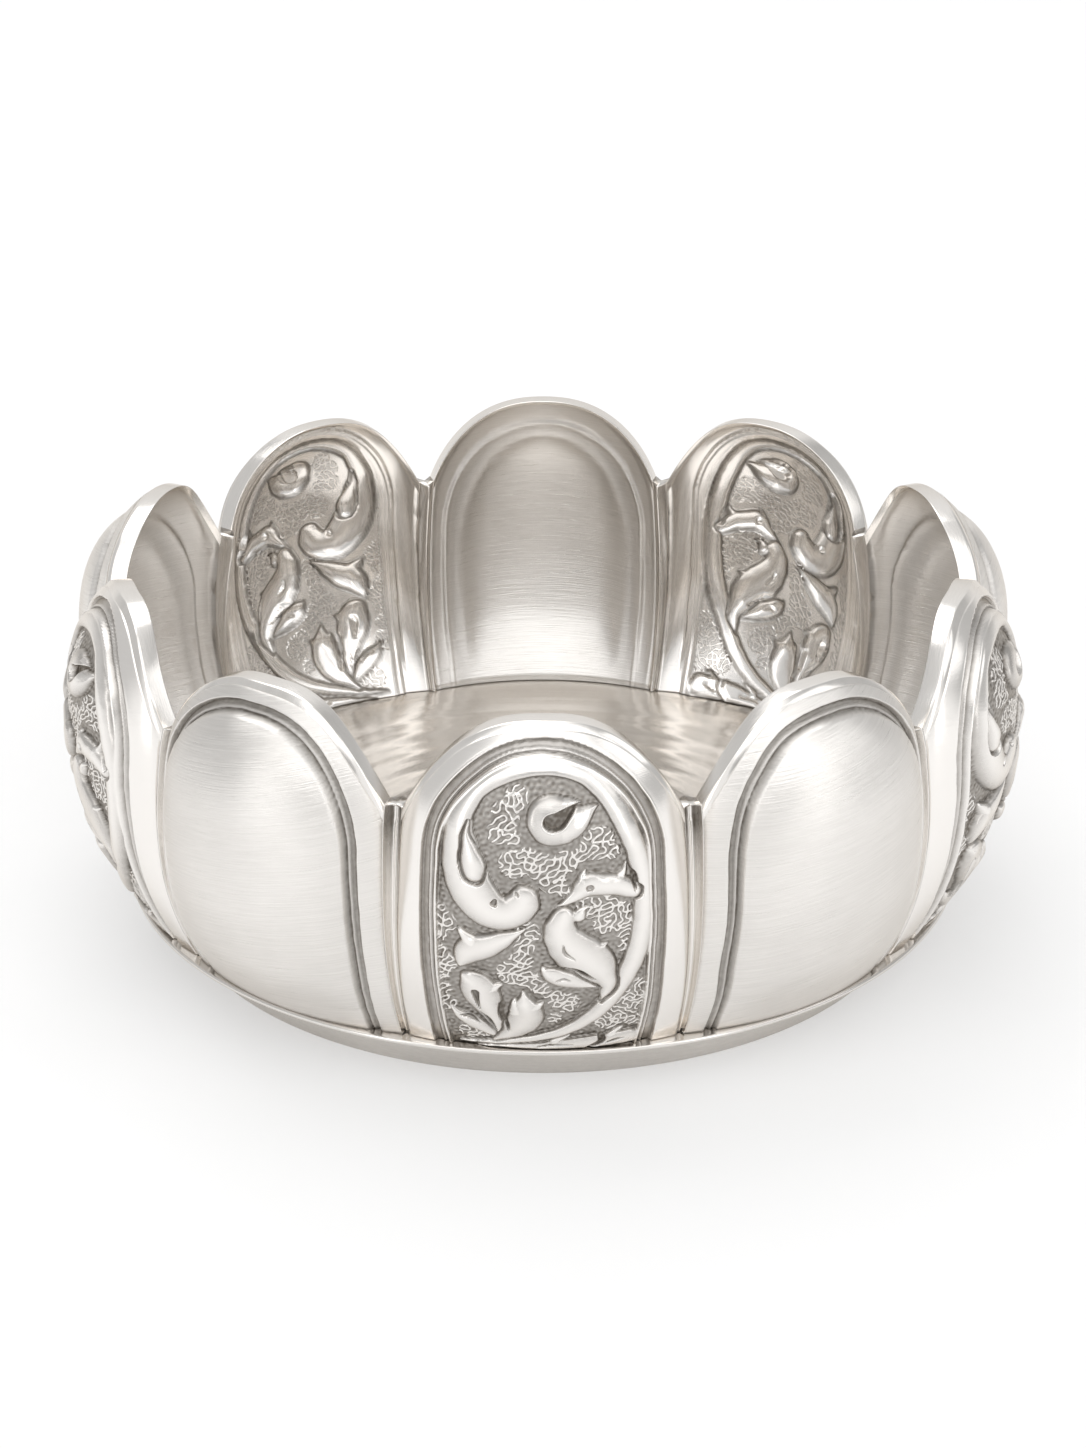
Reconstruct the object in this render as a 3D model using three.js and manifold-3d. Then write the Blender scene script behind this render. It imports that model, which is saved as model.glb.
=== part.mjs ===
// A lobed silver sweet bowl.
// Ten arched panels, chased and plain in turn, stand on the edge of a dished floor.
// A seam rib joins each pair of panels, a rim wire caps each panel, and a foot ring carries the floor.
// Millimetres, +Z up. The origin is the centre of the foot's underside, and a chased panel faces -Y.

import * as THREE from 'three';
import { mergeVertices } from 'three/addons/utils/BufferGeometryUtils.js';
import Module from 'manifold-3d';

// Foot and floor
const FOOT_HEIGHT = 7.6;
const FOOT_TAPER = 7;
const FOOT_WALL = 2.4;
const FOOT_SETBACK = 1.2;
const LEDGE_RADIUS = 70.4;
const FLOOR_THICKNESS = 0.9;
const FLOOR_DISH = 2.6;

// Wall, measured on the outside of a lobe's middle: the swells are how far it stands out from its foot
const LOBES = 10;
const WALL_SETBACK = 0.4;
const BELLY_SWELL = 10.4;
const LIP_SWELL = 0.8;
const WALL_HEIGHT = 56.0;
const BELLY_DROP = 20.8;
const LOWER_ROUNDNESS = 2.4;
const UPPER_ROUNDNESS = 2.5;
const SCALLOP_AT_LIP = 9;
const SCALLOP_AT_LEDGE = 1.6;
const WALL_AT_LIP = 3;
const WALL_AT_LEDGE = 2;

// Arched top of a lobe
const NOTCH_DROP = 18.4;
const ARCH_POWER = 2.6;
const ARCH_ROOT = 0.9;
const SHOULDER_DROP = 20;

// Rim wire and seam ribs
const RIM_HEIGHT = 1.1;
const RIB_AT_NOTCH = 3;
const RIB_AT_LEDGE = 1.3;
const RIB_VALLEY = 1.3;
const RIB_CREST = 0.5;
const RIB_INNER_CROWN = 0.6;
const SOLDER_GAP = 0.15;

// Band and groove round a panel's field: widths at its sides, and drops at its top
const CHASED_BAND_SIDE = 4.3;
const CHASED_BAND_TOP = 1.7;
const CHASED_GROOVE_SIDE = 2.4;
const CHASED_GROOVE_TOP = 2.1;
const PLAIN_BAND_SIDE = 3.2;
const PLAIN_BAND_TOP = 2.3;
const PLAIN_GROOVE_SIDE = 2;
const PLAIN_GROOVE_TOP = 1.9;
const GROOVE_SLOPE = 0.5;
const GROOVE_DEPTH = 1;
const FIELD_LEAN = 0.85;
const DOME_SHOULDER = 5.5;
const DOME_HEIGHT = 1.6;
const CHASED_FRAME = 0.4;
const CHASED_DEPTH = 0.95;
const INNER_RELIEF = 0.8;
const INNER_GROOVE_DEPTH = 0.4;
const FADE_HEIGHT = 12;

// Scroll on a chased field, with how far it rises, how deep its ridges root in the ground, and the share
// of a ridge's width that its flat top takes. A stroke is a line of points seen from outside, each with
// the distance across from the lobe's middle, the height above the ledge and the half width, in
// hundredths: of the belly's half width for the first and the last, and of the wall's height for the second.
const SCROLL_RISE = 1.15;
const SCROLL_SINK = 0.8;
const SCROLL_TOP_SHARE = 0.55;
const SCROLL_SHARES = {
  stem: [
    [-37, 3, 2], [-4, 6, 4], [25, 13, 5], [46, 24, 6], [58, 37, 6], [62, 51, 5],
    [59, 65, 6], [48, 77, 6], [29, 86, 6], [4, 91, 6], [-22, 89, 6],
    [-42, 82, 7], [-50, 71, 10], [-46, 60, 14], [-31, 52, 13], [-13, 54, 10],
  ],
  bud: [[-9, 78, 2], [-4, 78, 11], [6, 78, 15], [16, 78, 11], [25, 80, 5], [33, 81, 1]],
  stemLeaf: [[7, 53, 1], [21, 57, 5], [31, 60, 8], [44, 59, 7], [56, 56, 5]],
  curledLeaf: [[14, 52, 2], [11, 47, 9], [16, 40, 14], [30, 35, 14], [38, 29, 8], [36, 21, 1]],
  curledLobe: [[0, 33, 1], [10, 31, 7], [21, 28, 5], [34, 26, 1]],
  bellLeaf: [[-9, 47, 1], [-22, 43, 6], [-37, 40, 10], [-48, 36, 7], [-52, 32, 1]],
  tallLeaf: [[-27, 7, 2], [-31, 15, 7], [-38, 23, 12], [-45, 28, 7], [-50, 30, 1]],
  lowLeaf: [[-58, 17, 1], [-49, 13, 5], [-39, 10, 5], [-30, 7, 2]],
  rightLeaf: [[-30, 5, 2], [-18, 9, 7], [-11, 15, 11], [-11, 21, 6], [-12, 25, 1]],
  groundLeaf: [[-16, 2, 2], [8, 3, 4], [33, 4, 6], [53, 5, 6]],
};
const PRESSED_THROUGH = ['stem', 'bud', 'curledLeaf', 'tallLeaf'];

// Facets
const SIDE_STEPS = 4;
const HALF_ARCH_STEPS = 6;
const DOME_STEPS = 3;
const ROUND_STEPS = 60;
const DISH_STATIONS = [0.4, 0.75];
const SLOPE_STEP = 0.01;
const CORNER_PASSES = 12;

// Heights and radii worked out from the sizes above
const LEDGE_Z = FOOT_HEIGHT + SOLDER_GAP + FLOOR_THICKNESS;
const WALL_Z = LEDGE_Z + SOLDER_GAP;
const LIP_Z = LEDGE_Z + WALL_HEIGHT;
const BELLY_Z = LIP_Z - BELLY_DROP;
const NOTCH_Z = LIP_Z - NOTCH_DROP;
const SHOULDER_Z = LIP_Z - SHOULDER_DROP;
const WALL_RADIUS = LEDGE_RADIUS - WALL_SETBACK;
const BELLY_RADIUS = WALL_RADIUS + BELLY_SWELL;
const LIP_RADIUS = WALL_RADIUS + LIP_SWELL;
const HALF_LOBE = Math.PI / LOBES;

const { clamp, lerp, smoothstep } = THREE.MathUtils;

function share(z) {
  return clamp((z - LEDGE_Z) / (NOTCH_Z - LEDGE_Z), 0, 1);
}

// Outside radius of a lobe's middle at height z.
function meridian(z) {
  if (z < BELLY_Z) {
    const below = (BELLY_Z - z) / (BELLY_Z - LEDGE_Z);
    return BELLY_RADIUS - (BELLY_RADIUS - WALL_RADIUS) * below ** LOWER_ROUNDNESS;
  }
  const above = (z - BELLY_Z) / (LIP_Z - BELLY_Z);
  return BELLY_RADIUS - (BELLY_RADIUS - LIP_RADIUS) * above ** UPPER_ROUNDNESS;
}

// Height of the rim at u, where u runs from -1 to 1 across a lobe.
function archHeight(u) {
  const across = Math.min(Math.abs(u), 1);
  return NOTCH_Z + (LIP_Z - NOTCH_Z) * (1 - across ** ARCH_POWER) ** ARCH_ROOT;
}

// Outside radius of the wall: a seam lies further in than a lobe's middle.
function wallRadius(u, z) {
  const up = clamp((z - LEDGE_Z) / (archHeight(u) - LEDGE_Z), 0, 1);
  return meridian(z) - lerp(SCALLOP_AT_LEDGE, SCALLOP_AT_LIP, up) * u * u;
}

function wallThickness(z) {
  return lerp(WALL_AT_LEDGE, WALL_AT_LIP, clamp((z - LEDGE_Z) / (LIP_Z - LEDGE_Z), 0, 1));
}

// Half of a lobe's width along the wall, and the u at which its rib begins.
function halfWidth(z) {
  const scallop = lerp(SCALLOP_AT_LEDGE, SCALLOP_AT_LIP, share(z));
  return (meridian(z) - scallop / 3) * HALF_LOBE;
}

function ribEdge(z) {
  return 1 - lerp(RIB_AT_LEDGE, RIB_AT_NOTCH, share(z)) / 2 / halfWidth(z);
}

function panelEdge(z) {
  return ribEdge(z) - SOLDER_GAP / halfWidth(z);
}

const BELLY_HALF_WIDTH = halfWidth(BELLY_Z);

// Height of a line that runs under the rim at u, the given distance inside the arch.
function underArch(u, distance) {
  const across = Math.abs(u);
  const drop = archHeight(across - SLOPE_STEP) - archHeight(across + SLOPE_STEP);
  const slope = drop / (2 * SLOPE_STEP * halfWidth(NOTCH_Z));
  return archHeight(u) - distance * Math.hypot(1, slope);
}

// Where a line that runs inside the arch meets the edge of the rib.
function cornerHeight(distance) {
  let z = NOTCH_Z;
  for (let pass = 0; pass < CORNER_PASSES; pass += 1) {
    z = underArch(panelEdge(z), distance);
  }
  return z;
}

// A point of the wall: azimuth of the lobe, u, height and distance outside the wall's own surface.
function wallPoint(azimuth, u, z, proud) {
  const angle = azimuth + u * HALF_LOBE - Math.PI / 2;
  const radius = wallRadius(u, z) + proud;
  return [radius * Math.cos(angle), radius * Math.sin(angle), z];
}

// Gathers triangles and gives them back as one closed geometry.
class Faces {
  constructor() {
    this.positions = [];
  }

  triangle(a, b, c) {
    this.positions.push(...a, ...b, ...c);
  }

  quad(a, b, c, d) {
    this.triangle(a, b, c);
    this.triangle(a, c, d);
  }

  geometry() {
    const geometry = new THREE.BufferGeometry();
    geometry.setAttribute('position', new THREE.Float32BufferAttribute(this.positions, 3));
    geometry.computeVertexNormals();
    return geometry;
  }
}

// Skins rows of points that follow one another: each row is a closed loop, seen along the rows
// as counterclockwise, and the first and last rows are capped by a fan about their middle.
function loftedGeometry(rows) {
  const faces = new Faces();
  const middle = (row) => [0, 1, 2].map((axis) => row.reduce((sum, p) => sum + p[axis], 0) / row.length);
  for (let i = 0; i + 1 < rows.length; i += 1) {
    rows[i].forEach((point, j) => {
      const next = (j + 1) % rows[i].length;
      faces.quad(point, rows[i][next], rows[i + 1][next], rows[i + 1][j]);
    });
  }
  const first = rows[0];
  const last = rows[rows.length - 1];
  first.forEach((point, j) => faces.triangle(middle(first), first[(j + 1) % first.length], point));
  last.forEach((point, j) => faces.triangle(middle(last), point, last[(j + 1) % last.length]));
  return faces.geometry();
}

// The rings of a panel's groove, from its edge inwards. side and top are the distances inside the edge,
// outer and inner are how far the two faces stand out from the wall's surface and its inside.
function grooveRings(border) {
  const slopeShare = GROOVE_SLOPE / border.grooveSide;
  return [
    { side: border.bandSide, top: border.bandTop, outer: 0, inner: 0 },
    {
      side: border.bandSide + GROOVE_SLOPE,
      top: border.bandTop + border.grooveTop * slopeShare,
      outer: -GROOVE_DEPTH,
      inner: -INNER_GROOVE_DEPTH,
    },
    {
      side: border.bandSide + border.grooveSide - GROOVE_SLOPE,
      top: border.bandTop + border.grooveTop * (1 - slopeShare),
      outer: -GROOVE_DEPTH,
      inner: -INNER_GROOVE_DEPTH,
    },
  ];
}

function fieldRing(border, inset, outer) {
  return {
    side: border.bandSide + border.grooveSide + inset,
    top: border.bandTop + border.grooveTop + inset * FIELD_LEAN,
    outer,
    inner: outer * INNER_RELIEF,
  };
}

// A plain panel's dome rises from the groove by a quarter of an ellipse.
function plainRings() {
  const border = {
    bandSide: PLAIN_BAND_SIDE,
    bandTop: PLAIN_BAND_TOP,
    grooveSide: PLAIN_GROOVE_SIDE,
    grooveTop: PLAIN_GROOVE_TOP,
  };
  const rings = grooveRings(border);
  for (let i = 0; i <= DOME_STEPS; i += 1) {
    const turn = (i / DOME_STEPS) * (Math.PI / 2);
    rings.push(fieldRing(border, DOME_SHOULDER * (1 - Math.cos(turn)), DOME_HEIGHT * Math.sin(turn)));
  }
  return rings;
}

// A chased panel's field is sunk inside a narrow frame.
function chasedRings() {
  const border = {
    bandSide: CHASED_BAND_SIDE,
    bandTop: CHASED_BAND_TOP,
    grooveSide: CHASED_GROOVE_SIDE,
    grooveTop: CHASED_GROOVE_TOP,
  };
  return [
    ...grooveRings(border),
    fieldRing(border, 0, 0),
    fieldRing(border, CHASED_FRAME, 0),
    fieldRing(border, CHASED_FRAME + GROOVE_SLOPE, -CHASED_DEPTH),
    fieldRing(border, DOME_SHOULDER, -CHASED_DEPTH),
  ];
}

// Relief that stands out fades towards the ledge, so that the panel lands on the floor's edge.
function faded(height, z) {
  return height > 0 ? height * smoothstep(z, LEDGE_Z, LEDGE_Z + FADE_HEIGHT) : height;
}

// One half of a ring, from its foot on the ledge to the top of the arch, as u and z.
// The outermost ring has no record of its own: it is the edge of the sheet, under the rim wire.
function ringHalf(ring) {
  const points = [];
  const cover = RIM_HEIGHT + SOLDER_GAP;
  const shoulder = ring ? SHOULDER_Z : cornerHeight(cover);
  for (let i = 0; i < SIDE_STEPS; i += 1) {
    const z = lerp(WALL_Z, shoulder, i / SIDE_STEPS);
    const inset = ring ? ring.side : 0;
    points.push({ u: panelEdge(z) - inset / halfWidth(z), z });
  }
  for (let i = 0; i <= HALF_ARCH_STEPS; i += 1) {
    const turn = (i / HALF_ARCH_STEPS) * (Math.PI / 2);
    if (ring) {
      const z = lerp(SHOULDER_Z, LIP_Z - ring.top, Math.sin(turn));
      points.push({ u: (panelEdge(z) - ring.side / halfWidth(z)) * Math.cos(turn), z });
    } else {
      const u = panelEdge(shoulder) * Math.cos(turn);
      points.push({ u, z: underArch(u, cover) });
    }
  }
  return points;
}

// A panel: nested rings on both faces, joined at the edge, with rungs from the innermost ring
// to a spine up the middle of the lobe.
function panelGeometry(azimuth, rings) {
  const faces = new Faces();
  const onOuter = ({ u, z }, relief) => wallPoint(azimuth, u, z, faded(relief.outer, z));
  const onInner = ({ u, z }, relief) => wallPoint(azimuth, u, z, faded(relief.inner, z) - wallThickness(z));
  const outer = [];
  const inner = [];
  let half;
  [null, ...rings].forEach((ring) => {
    half = ringHalf(ring);
    const whole = [...half.map(({ u, z }) => ({ u: -u, z })), ...half.slice(0, -1).reverse()];
    const relief = ring ?? { outer: 0, inner: 0 };
    outer.push(whole.map((point) => onOuter(point, relief)));
    inner.push(whole.map((point) => onInner(point, relief)));
  });
  const count = outer[0].length;
  const last = outer.length - 1;
  for (let i = 0; i < last; i += 1) {
    for (let j = 0; j + 1 < count; j += 1) {
      faces.quad(outer[i][j], outer[i + 1][j], outer[i + 1][j + 1], outer[i][j + 1]);
      faces.quad(inner[i][j], inner[i][j + 1], inner[i + 1][j + 1], inner[i + 1][j]);
    }
    for (const [j, flip] of [[0, false], [count - 1, true]]) {
      const strip = [outer[i][j], inner[i][j], inner[i + 1][j], outer[i + 1][j]];
      faces.quad(...(flip ? strip.reverse() : strip));
    }
  }
  for (let j = 0; j + 1 < count; j += 1) {
    faces.quad(outer[0][j], outer[0][j + 1], inner[0][j + 1], inner[0][j]);
  }
  const apex = half.length - 1;
  const field = rings[rings.length - 1];
  const spineOuter = half.map(({ z }) => onOuter({ u: 0, z }, field));
  const spineInner = half.map(({ z }) => onInner({ u: 0, z }, field));
  for (let j = 0; j < apex; j += 1) {
    const across = count - 1 - j;
    if (j + 1 < apex) {
      faces.quad(outer[last][j], spineOuter[j], spineOuter[j + 1], outer[last][j + 1]);
      faces.quad(spineOuter[j], outer[last][across], outer[last][across - 1], spineOuter[j + 1]);
      faces.quad(inner[last][j], inner[last][j + 1], spineInner[j + 1], spineInner[j]);
      faces.quad(spineInner[j], spineInner[j + 1], inner[last][across - 1], inner[last][across]);
    } else {
      faces.triangle(outer[last][j], spineOuter[j], outer[last][apex]);
      faces.triangle(spineOuter[j], outer[last][across], outer[last][apex]);
      faces.triangle(inner[last][j], inner[last][apex], spineInner[j]);
      faces.triangle(spineInner[j], inner[last][apex], inner[last][across]);
    }
  }
  faces.quad(outer[last][0], inner[last][0], spineInner[0], spineOuter[0]);
  faces.quad(spineOuter[0], spineInner[0], inner[last][count - 1], outer[last][count - 1]);
  return faces.geometry();
}

// A stroke of the scroll as a ridge on the wall, from its foot to a flat crest, both given as
// the distance that they stand out at a height.
function ridgeGeometry(azimuth, stroke, foot, crest) {
  const section = [[1, foot], [SCROLL_TOP_SHARE, crest], [-SCROLL_TOP_SHARE, crest], [-1, foot]];
  const line = stroke.map(([across, up]) => new THREE.Vector2(across * BELLY_HALF_WIDTH, up * WALL_HEIGHT));
  const rows = line.map((point, i) => {
    const half = (stroke[i][2] * BELLY_HALF_WIDTH) / 100;
    const before = line[Math.max(i - 1, 0)];
    const after = line[Math.min(i + 1, line.length - 1)];
    const along = after.clone().sub(before).normalize();
    return section.map(([share, proud]) => {
      const z = LEDGE_Z + point.y / 100 + along.x * half * share;
      return wallPoint(azimuth, (point.x / 100 - along.y * half * share) / halfWidth(z), z, proud(z));
    });
  });
  return loftedGeometry(rows);
}

function solidOf(geometry) {
  geometry.deleteAttribute('normal');
  const { attributes, index } = mergeVertices(geometry);
  const mesh = { numProp: 3, vertProperties: attributes.position.array, triVerts: index.array };
  return new wasm.Manifold(new wasm.Mesh(mesh));
}

function geometryOf(solid) {
  const mesh = solid.getMesh();
  const geometry = new THREE.BufferGeometry();
  geometry.setAttribute('position', new THREE.BufferAttribute(new Float32Array(mesh.vertProperties), 3));
  geometry.setIndex(Array.from(mesh.triVerts));
  const flat = geometry.toNonIndexed();
  flat.computeVertexNormals();
  return flat;
}

// A chased panel: the scroll stands on its sunk field. Its wide forms are pressed hollow behind,
// where they are softer, with half the points.
function chasedGeometry(azimuth) {
  const pressed = (height, z) => faded(height * INNER_RELIEF, z) - wallThickness(z);
  const crest = SCROLL_RISE - CHASED_DEPTH;
  const root = -CHASED_DEPTH - SCROLL_SINK;
  let panel = solidOf(panelGeometry(azimuth, chasedRings()));
  Object.values(SCROLL_SHARES).forEach((stroke) => {
    panel = panel.add(solidOf(ridgeGeometry(azimuth, stroke, () => root, (z) => faded(crest, z))));
  });
  PRESSED_THROUGH.forEach((name) => {
    const stroke = SCROLL_SHARES[name];
    const softened = stroke.filter((point, i) => i % 2 === 0 || i === stroke.length - 1);
    const hollow = ridgeGeometry(azimuth, softened, (z) => pressed(root, z), (z) => pressed(crest, z));
    panel = panel.subtract(solidOf(hollow));
  });
  return geometryOf(panel);
}

// A rim wire: a flat bar as wide as the wall, bent over a panel's arch from notch to notch.
function rimWireGeometry(azimuth) {
  const top = cornerHeight(0);
  const foot = cornerHeight(RIM_HEIGHT);
  const rows = [];
  for (let i = 0; i <= 2 * HALF_ARCH_STEPS; i += 1) {
    const turn = (i / HALF_ARCH_STEPS) * (Math.PI / 2);
    const high = -panelEdge(top) * Math.cos(turn);
    const low = -panelEdge(foot) * Math.cos(turn);
    const highZ = underArch(high, 0);
    const lowZ = underArch(low, RIM_HEIGHT);
    rows.push([
      wallPoint(azimuth, low, lowZ, -wallThickness(lowZ)),
      wallPoint(azimuth, high, highZ, -wallThickness(highZ)),
      wallPoint(azimuth, high, highZ, 0),
      wallPoint(azimuth, low, lowZ, 0),
    ]);
  }
  return loftedGeometry(rows);
}

// A seam rib: a narrow bar between two panels, with a valley on each side of a low crest.
function seamRibGeometry(azimuth) {
  const top = cornerHeight(0);
  const rows = [];
  for (let i = 0; i <= SIDE_STEPS; i += 1) {
    const z = lerp(WALL_Z, top, i / SIDE_STEPS);
    const edge = ribEdge(z) - 1;
    const sunk = -wallThickness(z);
    rows.push([
      [edge, 0],
      [edge / 2, -RIB_VALLEY],
      [0, -RIB_CREST],
      [-edge / 2, -RIB_VALLEY],
      [-edge, 0],
      [-edge, sunk],
      [0, sunk - RIB_INNER_CROWN],
      [edge, sunk],
    ].map(([u, proud]) => {
      const angle = azimuth + u * HALF_LOBE - Math.PI / 2;
      const radius = wallRadius(1 - Math.abs(u), z) + proud;
      return [radius * Math.cos(angle), radius * Math.sin(angle), z];
    }));
  }
  return loftedGeometry(rows);
}

function latheAlongZ(profile) {
  const points = profile.map(([radius, z]) => new THREE.Vector2(radius, z));
  return new THREE.LatheGeometry(points, ROUND_STEPS).rotateX(Math.PI / 2);
}

// The floor: a flat seat under the wall, and a shallow dish inside it.
function floorGeometry() {
  const wallReach = WALL_SETBACK + SCALLOP_AT_LEDGE + WALL_AT_LEDGE + RIB_INNER_CROWN;
  const seat = LEDGE_RADIUS - Math.max(FOOT_SETBACK + FOOT_WALL, wallReach);
  const under = LEDGE_Z - FLOOR_THICKNESS;
  const dish = (top) => DISH_STATIONS.map((part) => [seat * part, top - FLOOR_DISH * (1 - part ** 2)]);
  return latheAlongZ([
    [0, under - FLOOR_DISH],
    ...dish(under),
    [seat, under],
    [LEDGE_RADIUS, under],
    [LEDGE_RADIUS, LEDGE_Z],
    [seat, LEDGE_Z],
    ...dish(LEDGE_Z).reverse(),
    [0, LEDGE_Z - FLOOR_DISH],
  ]);
}

// The foot: a conical ring with a flat underside.
function footGeometry() {
  const top = LEDGE_RADIUS - FOOT_SETBACK;
  const base = top - FOOT_TAPER;
  return latheAlongZ([
    [base - FOOT_WALL, 0],
    [base, 0],
    [top, FOOT_HEIGHT],
    [top - FOOT_WALL, FOOT_HEIGHT],
    [base - FOOT_WALL, 0],
  ]);
}

const polished = { color: 0xe6e3de, metalness: 1, roughness: 0.16 };
const brushed = { color: 0xdedbd6, metalness: 1, roughness: 0.34 };
const chased = { color: 0xc9c5be, metalness: 1, roughness: 0.4 };

const wasm = await Module();
wasm.setup();

const bowl = new THREE.Group();

function addPart(name, geometry, finish) {
  const mesh = new THREE.Mesh(geometry, new THREE.MeshStandardMaterial(finish));
  mesh.name = name;
  bowl.add(mesh);
}

addPart('foot_ring', footGeometry(), brushed);
addPart('bowl_floor', floorGeometry(), brushed);
for (let lobe = 0; lobe < LOBES; lobe += 1) {
  const azimuth = 2 * lobe * HALF_LOBE;
  const number = Math.floor(lobe / 2) + 1;
  if (lobe % 2 === 0) {
    addPart(`chased_panel_${number}`, chasedGeometry(azimuth), chased);
  } else {
    addPart(`plain_panel_${number}`, panelGeometry(azimuth, plainRings()), brushed);
  }
  addPart(`rim_wire_${lobe + 1}`, rimWireGeometry(azimuth), polished);
  addPart(`seam_rib_${lobe + 1}`, seamRibGeometry(azimuth + HALF_LOBE), polished);
}

export default bowl;
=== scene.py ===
"""A lobed silver sweet bowl: fine surfaces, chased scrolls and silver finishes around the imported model.

Sizes are in millimetres and the meshes in metres, +Z up. Every panel is a sheet laid out by u, which
runs from -1 to 1 across a lobe, and by height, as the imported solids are.
"""

import math

import bpy
import numpy as np
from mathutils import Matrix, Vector


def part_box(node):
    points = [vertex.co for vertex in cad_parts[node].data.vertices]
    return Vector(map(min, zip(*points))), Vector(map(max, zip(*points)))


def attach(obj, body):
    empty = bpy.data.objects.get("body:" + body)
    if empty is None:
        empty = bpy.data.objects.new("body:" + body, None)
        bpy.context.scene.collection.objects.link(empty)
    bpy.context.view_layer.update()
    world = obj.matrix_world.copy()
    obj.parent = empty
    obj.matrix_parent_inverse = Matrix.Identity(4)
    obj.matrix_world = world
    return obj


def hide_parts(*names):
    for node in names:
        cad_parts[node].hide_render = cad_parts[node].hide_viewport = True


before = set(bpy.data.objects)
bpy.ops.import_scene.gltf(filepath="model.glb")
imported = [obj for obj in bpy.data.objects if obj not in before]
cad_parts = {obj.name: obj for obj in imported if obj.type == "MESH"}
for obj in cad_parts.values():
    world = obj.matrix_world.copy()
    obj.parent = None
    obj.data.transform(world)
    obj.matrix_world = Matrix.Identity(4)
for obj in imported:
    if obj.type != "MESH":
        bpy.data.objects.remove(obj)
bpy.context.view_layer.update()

MM = 0.001

# Places read from the frame
FOOT_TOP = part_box("foot_ring")[1].z / MM
LEDGE_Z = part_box("bowl_floor")[1].z / MM
LEDGE_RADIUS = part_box("bowl_floor")[1].x / MM
WALL_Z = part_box("chased_panel_1")[0].z / MM
LIP_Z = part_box("rim_wire_1")[1].z / MM

# Foot and floor
FOOT_TAPER = 7.0
FOOT_WALL = 2.4
FOOT_SETBACK = 1.2
FOOT_WAIST = 0.5
FOOT_BEVEL = 0.3
FLOOR_THICKNESS = 0.9
FLOOR_DISH = 2.6
RIPPLE_LONG = 8.3
RIPPLE_SHORT = 3.4
RIPPLE_HEIGHT = 0.1
SHORT_RIPPLE_SHARE = 0.5
SHORT_RIPPLE_SHIFT = 1
RIPPLE_FADE = 8
FLOOR_CENTRE = 0.01
FLOOR_STATIONS = 90
FOOT_STATIONS = 14
TURN_STATIONS = 240

# Wall
LOBES = 10
WALL_SETBACK = 0.4
BELLY_SWELL = 10.4
LIP_SWELL = 0.8
BELLY_DROP = 20.8
LOWER_ROUNDNESS = 2.4
UPPER_ROUNDNESS = 2.5
SCALLOP_AT_LIP = 9.0
SCALLOP_AT_LEDGE = 1.6
WALL_AT_LIP = 3.0
WALL_AT_LEDGE = 2.0
NOTCH_DROP = 18.4
ARCH_POWER = 2.6
ARCH_ROOT = 0.9
SLOPE_STEP = 0.01
CORNER_PASSES = 12

# Rim wire and seam ribs
RIM_HEIGHT = 1.1
RIB_AT_NOTCH = 3.0
RIB_AT_LEDGE = 1.3
RIB_VALLEY = 1.0
RIB_CREST = 0.5
CREST_SHARE = 0.32
RIB_INNER_CROWN = 0.6
CREST_POWER = 0.6
VALLEY_EDGE = 0.45
VALLEY_POWER = 1.4
RIB_CLOSING = 0.5
RIB_SADDLE = 0.35
SADDLE_LENGTH = 0.8
RIB_TOP_LENGTH = 3
RIB_STATIONS = 90
RIB_TOP_STATIONS = 16
RIB_FRONT_STATIONS = 41
RIB_BACK_STATIONS = 15
RIB_LENGTH = 42
RIB_GIRTH = 6
WIRE_STATIONS = 121
WIRE_LENGTH = 70

# Border and field of a panel
CHASED_BAND_SIDE = 4.3
CHASED_BAND_TOP = 1.7
CHASED_GROOVE_SIDE = 2.4
CHASED_GROOVE_TOP = 2.1
CHASED_SHOULDER = 20.0
CHASED_ROUNDNESS = 2.0
PLAIN_BAND_SIDE = 3.2
PLAIN_BAND_TOP = 2.3
PLAIN_GROOVE_SIDE = 2.0
PLAIN_GROOVE_TOP = 1.9
PLAIN_SHOULDER = 24.0
PLAIN_ROUNDNESS = 2.3
BAND_CROWN = 0.25
GROOVE_LAP = 0.1
GROOVE_SLOPE = 0.35
GROOVE_CORNER = 0.18
GROOVE_DEPTH = 1.0
BEAD_INSET = 0.75
BEAD_WIDTH = 0.25
BEAD_HEIGHT = 0.4
LIP_LINE = 0.12
LIP_LINE_PLACE = -0.2
LIP_LINE_WIDTH = 0.15
FIELD_BLEND_START = 0.25
FIELD_BLEND_END = 0.65
INNER_BLEND_START = 0.2
INNER_BLEND_END = 0.6
CHASED_LINE_PLACE = 1.1
OUTERMOST_INSET = -3.0
INNERMOST_INSET = 26.0
INSET_PASSES = 24
FIELD_LEAN = 0.85
FIELD_SINK = 1.1
DOME_SHOULDER = 4.5
DOME_HEIGHT = 1.1
DOME_REACH = 17.0
DOME_SWELL = 0.8
INNER_SWELL = 1.8
INNER_RELIEF = 0.8
HOLLOW_RELIEF = 1.5
INNER_CHANNEL = 0.75
INNER_LINE_SIDE = 3.6
INNER_LINE_TOP = 6.2
INNER_LINE_SHOULDER = 26.0
INNER_LINE_ROUNDNESS = 2.0
INNER_LINE_WIDTH = 0.3
INNER_LINE_HEIGHT = 0.25
INNER_HOLLOW = 0.21
INNER_HOLLOW_WIDTH = 4.0
EDGE_LINE = 0.02
WIRE_BEVEL = 0.12
WIRE_PROUD = 0.05
WIRE_LAP = 0.2
FADE_HEIGHT = 12.0

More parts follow.
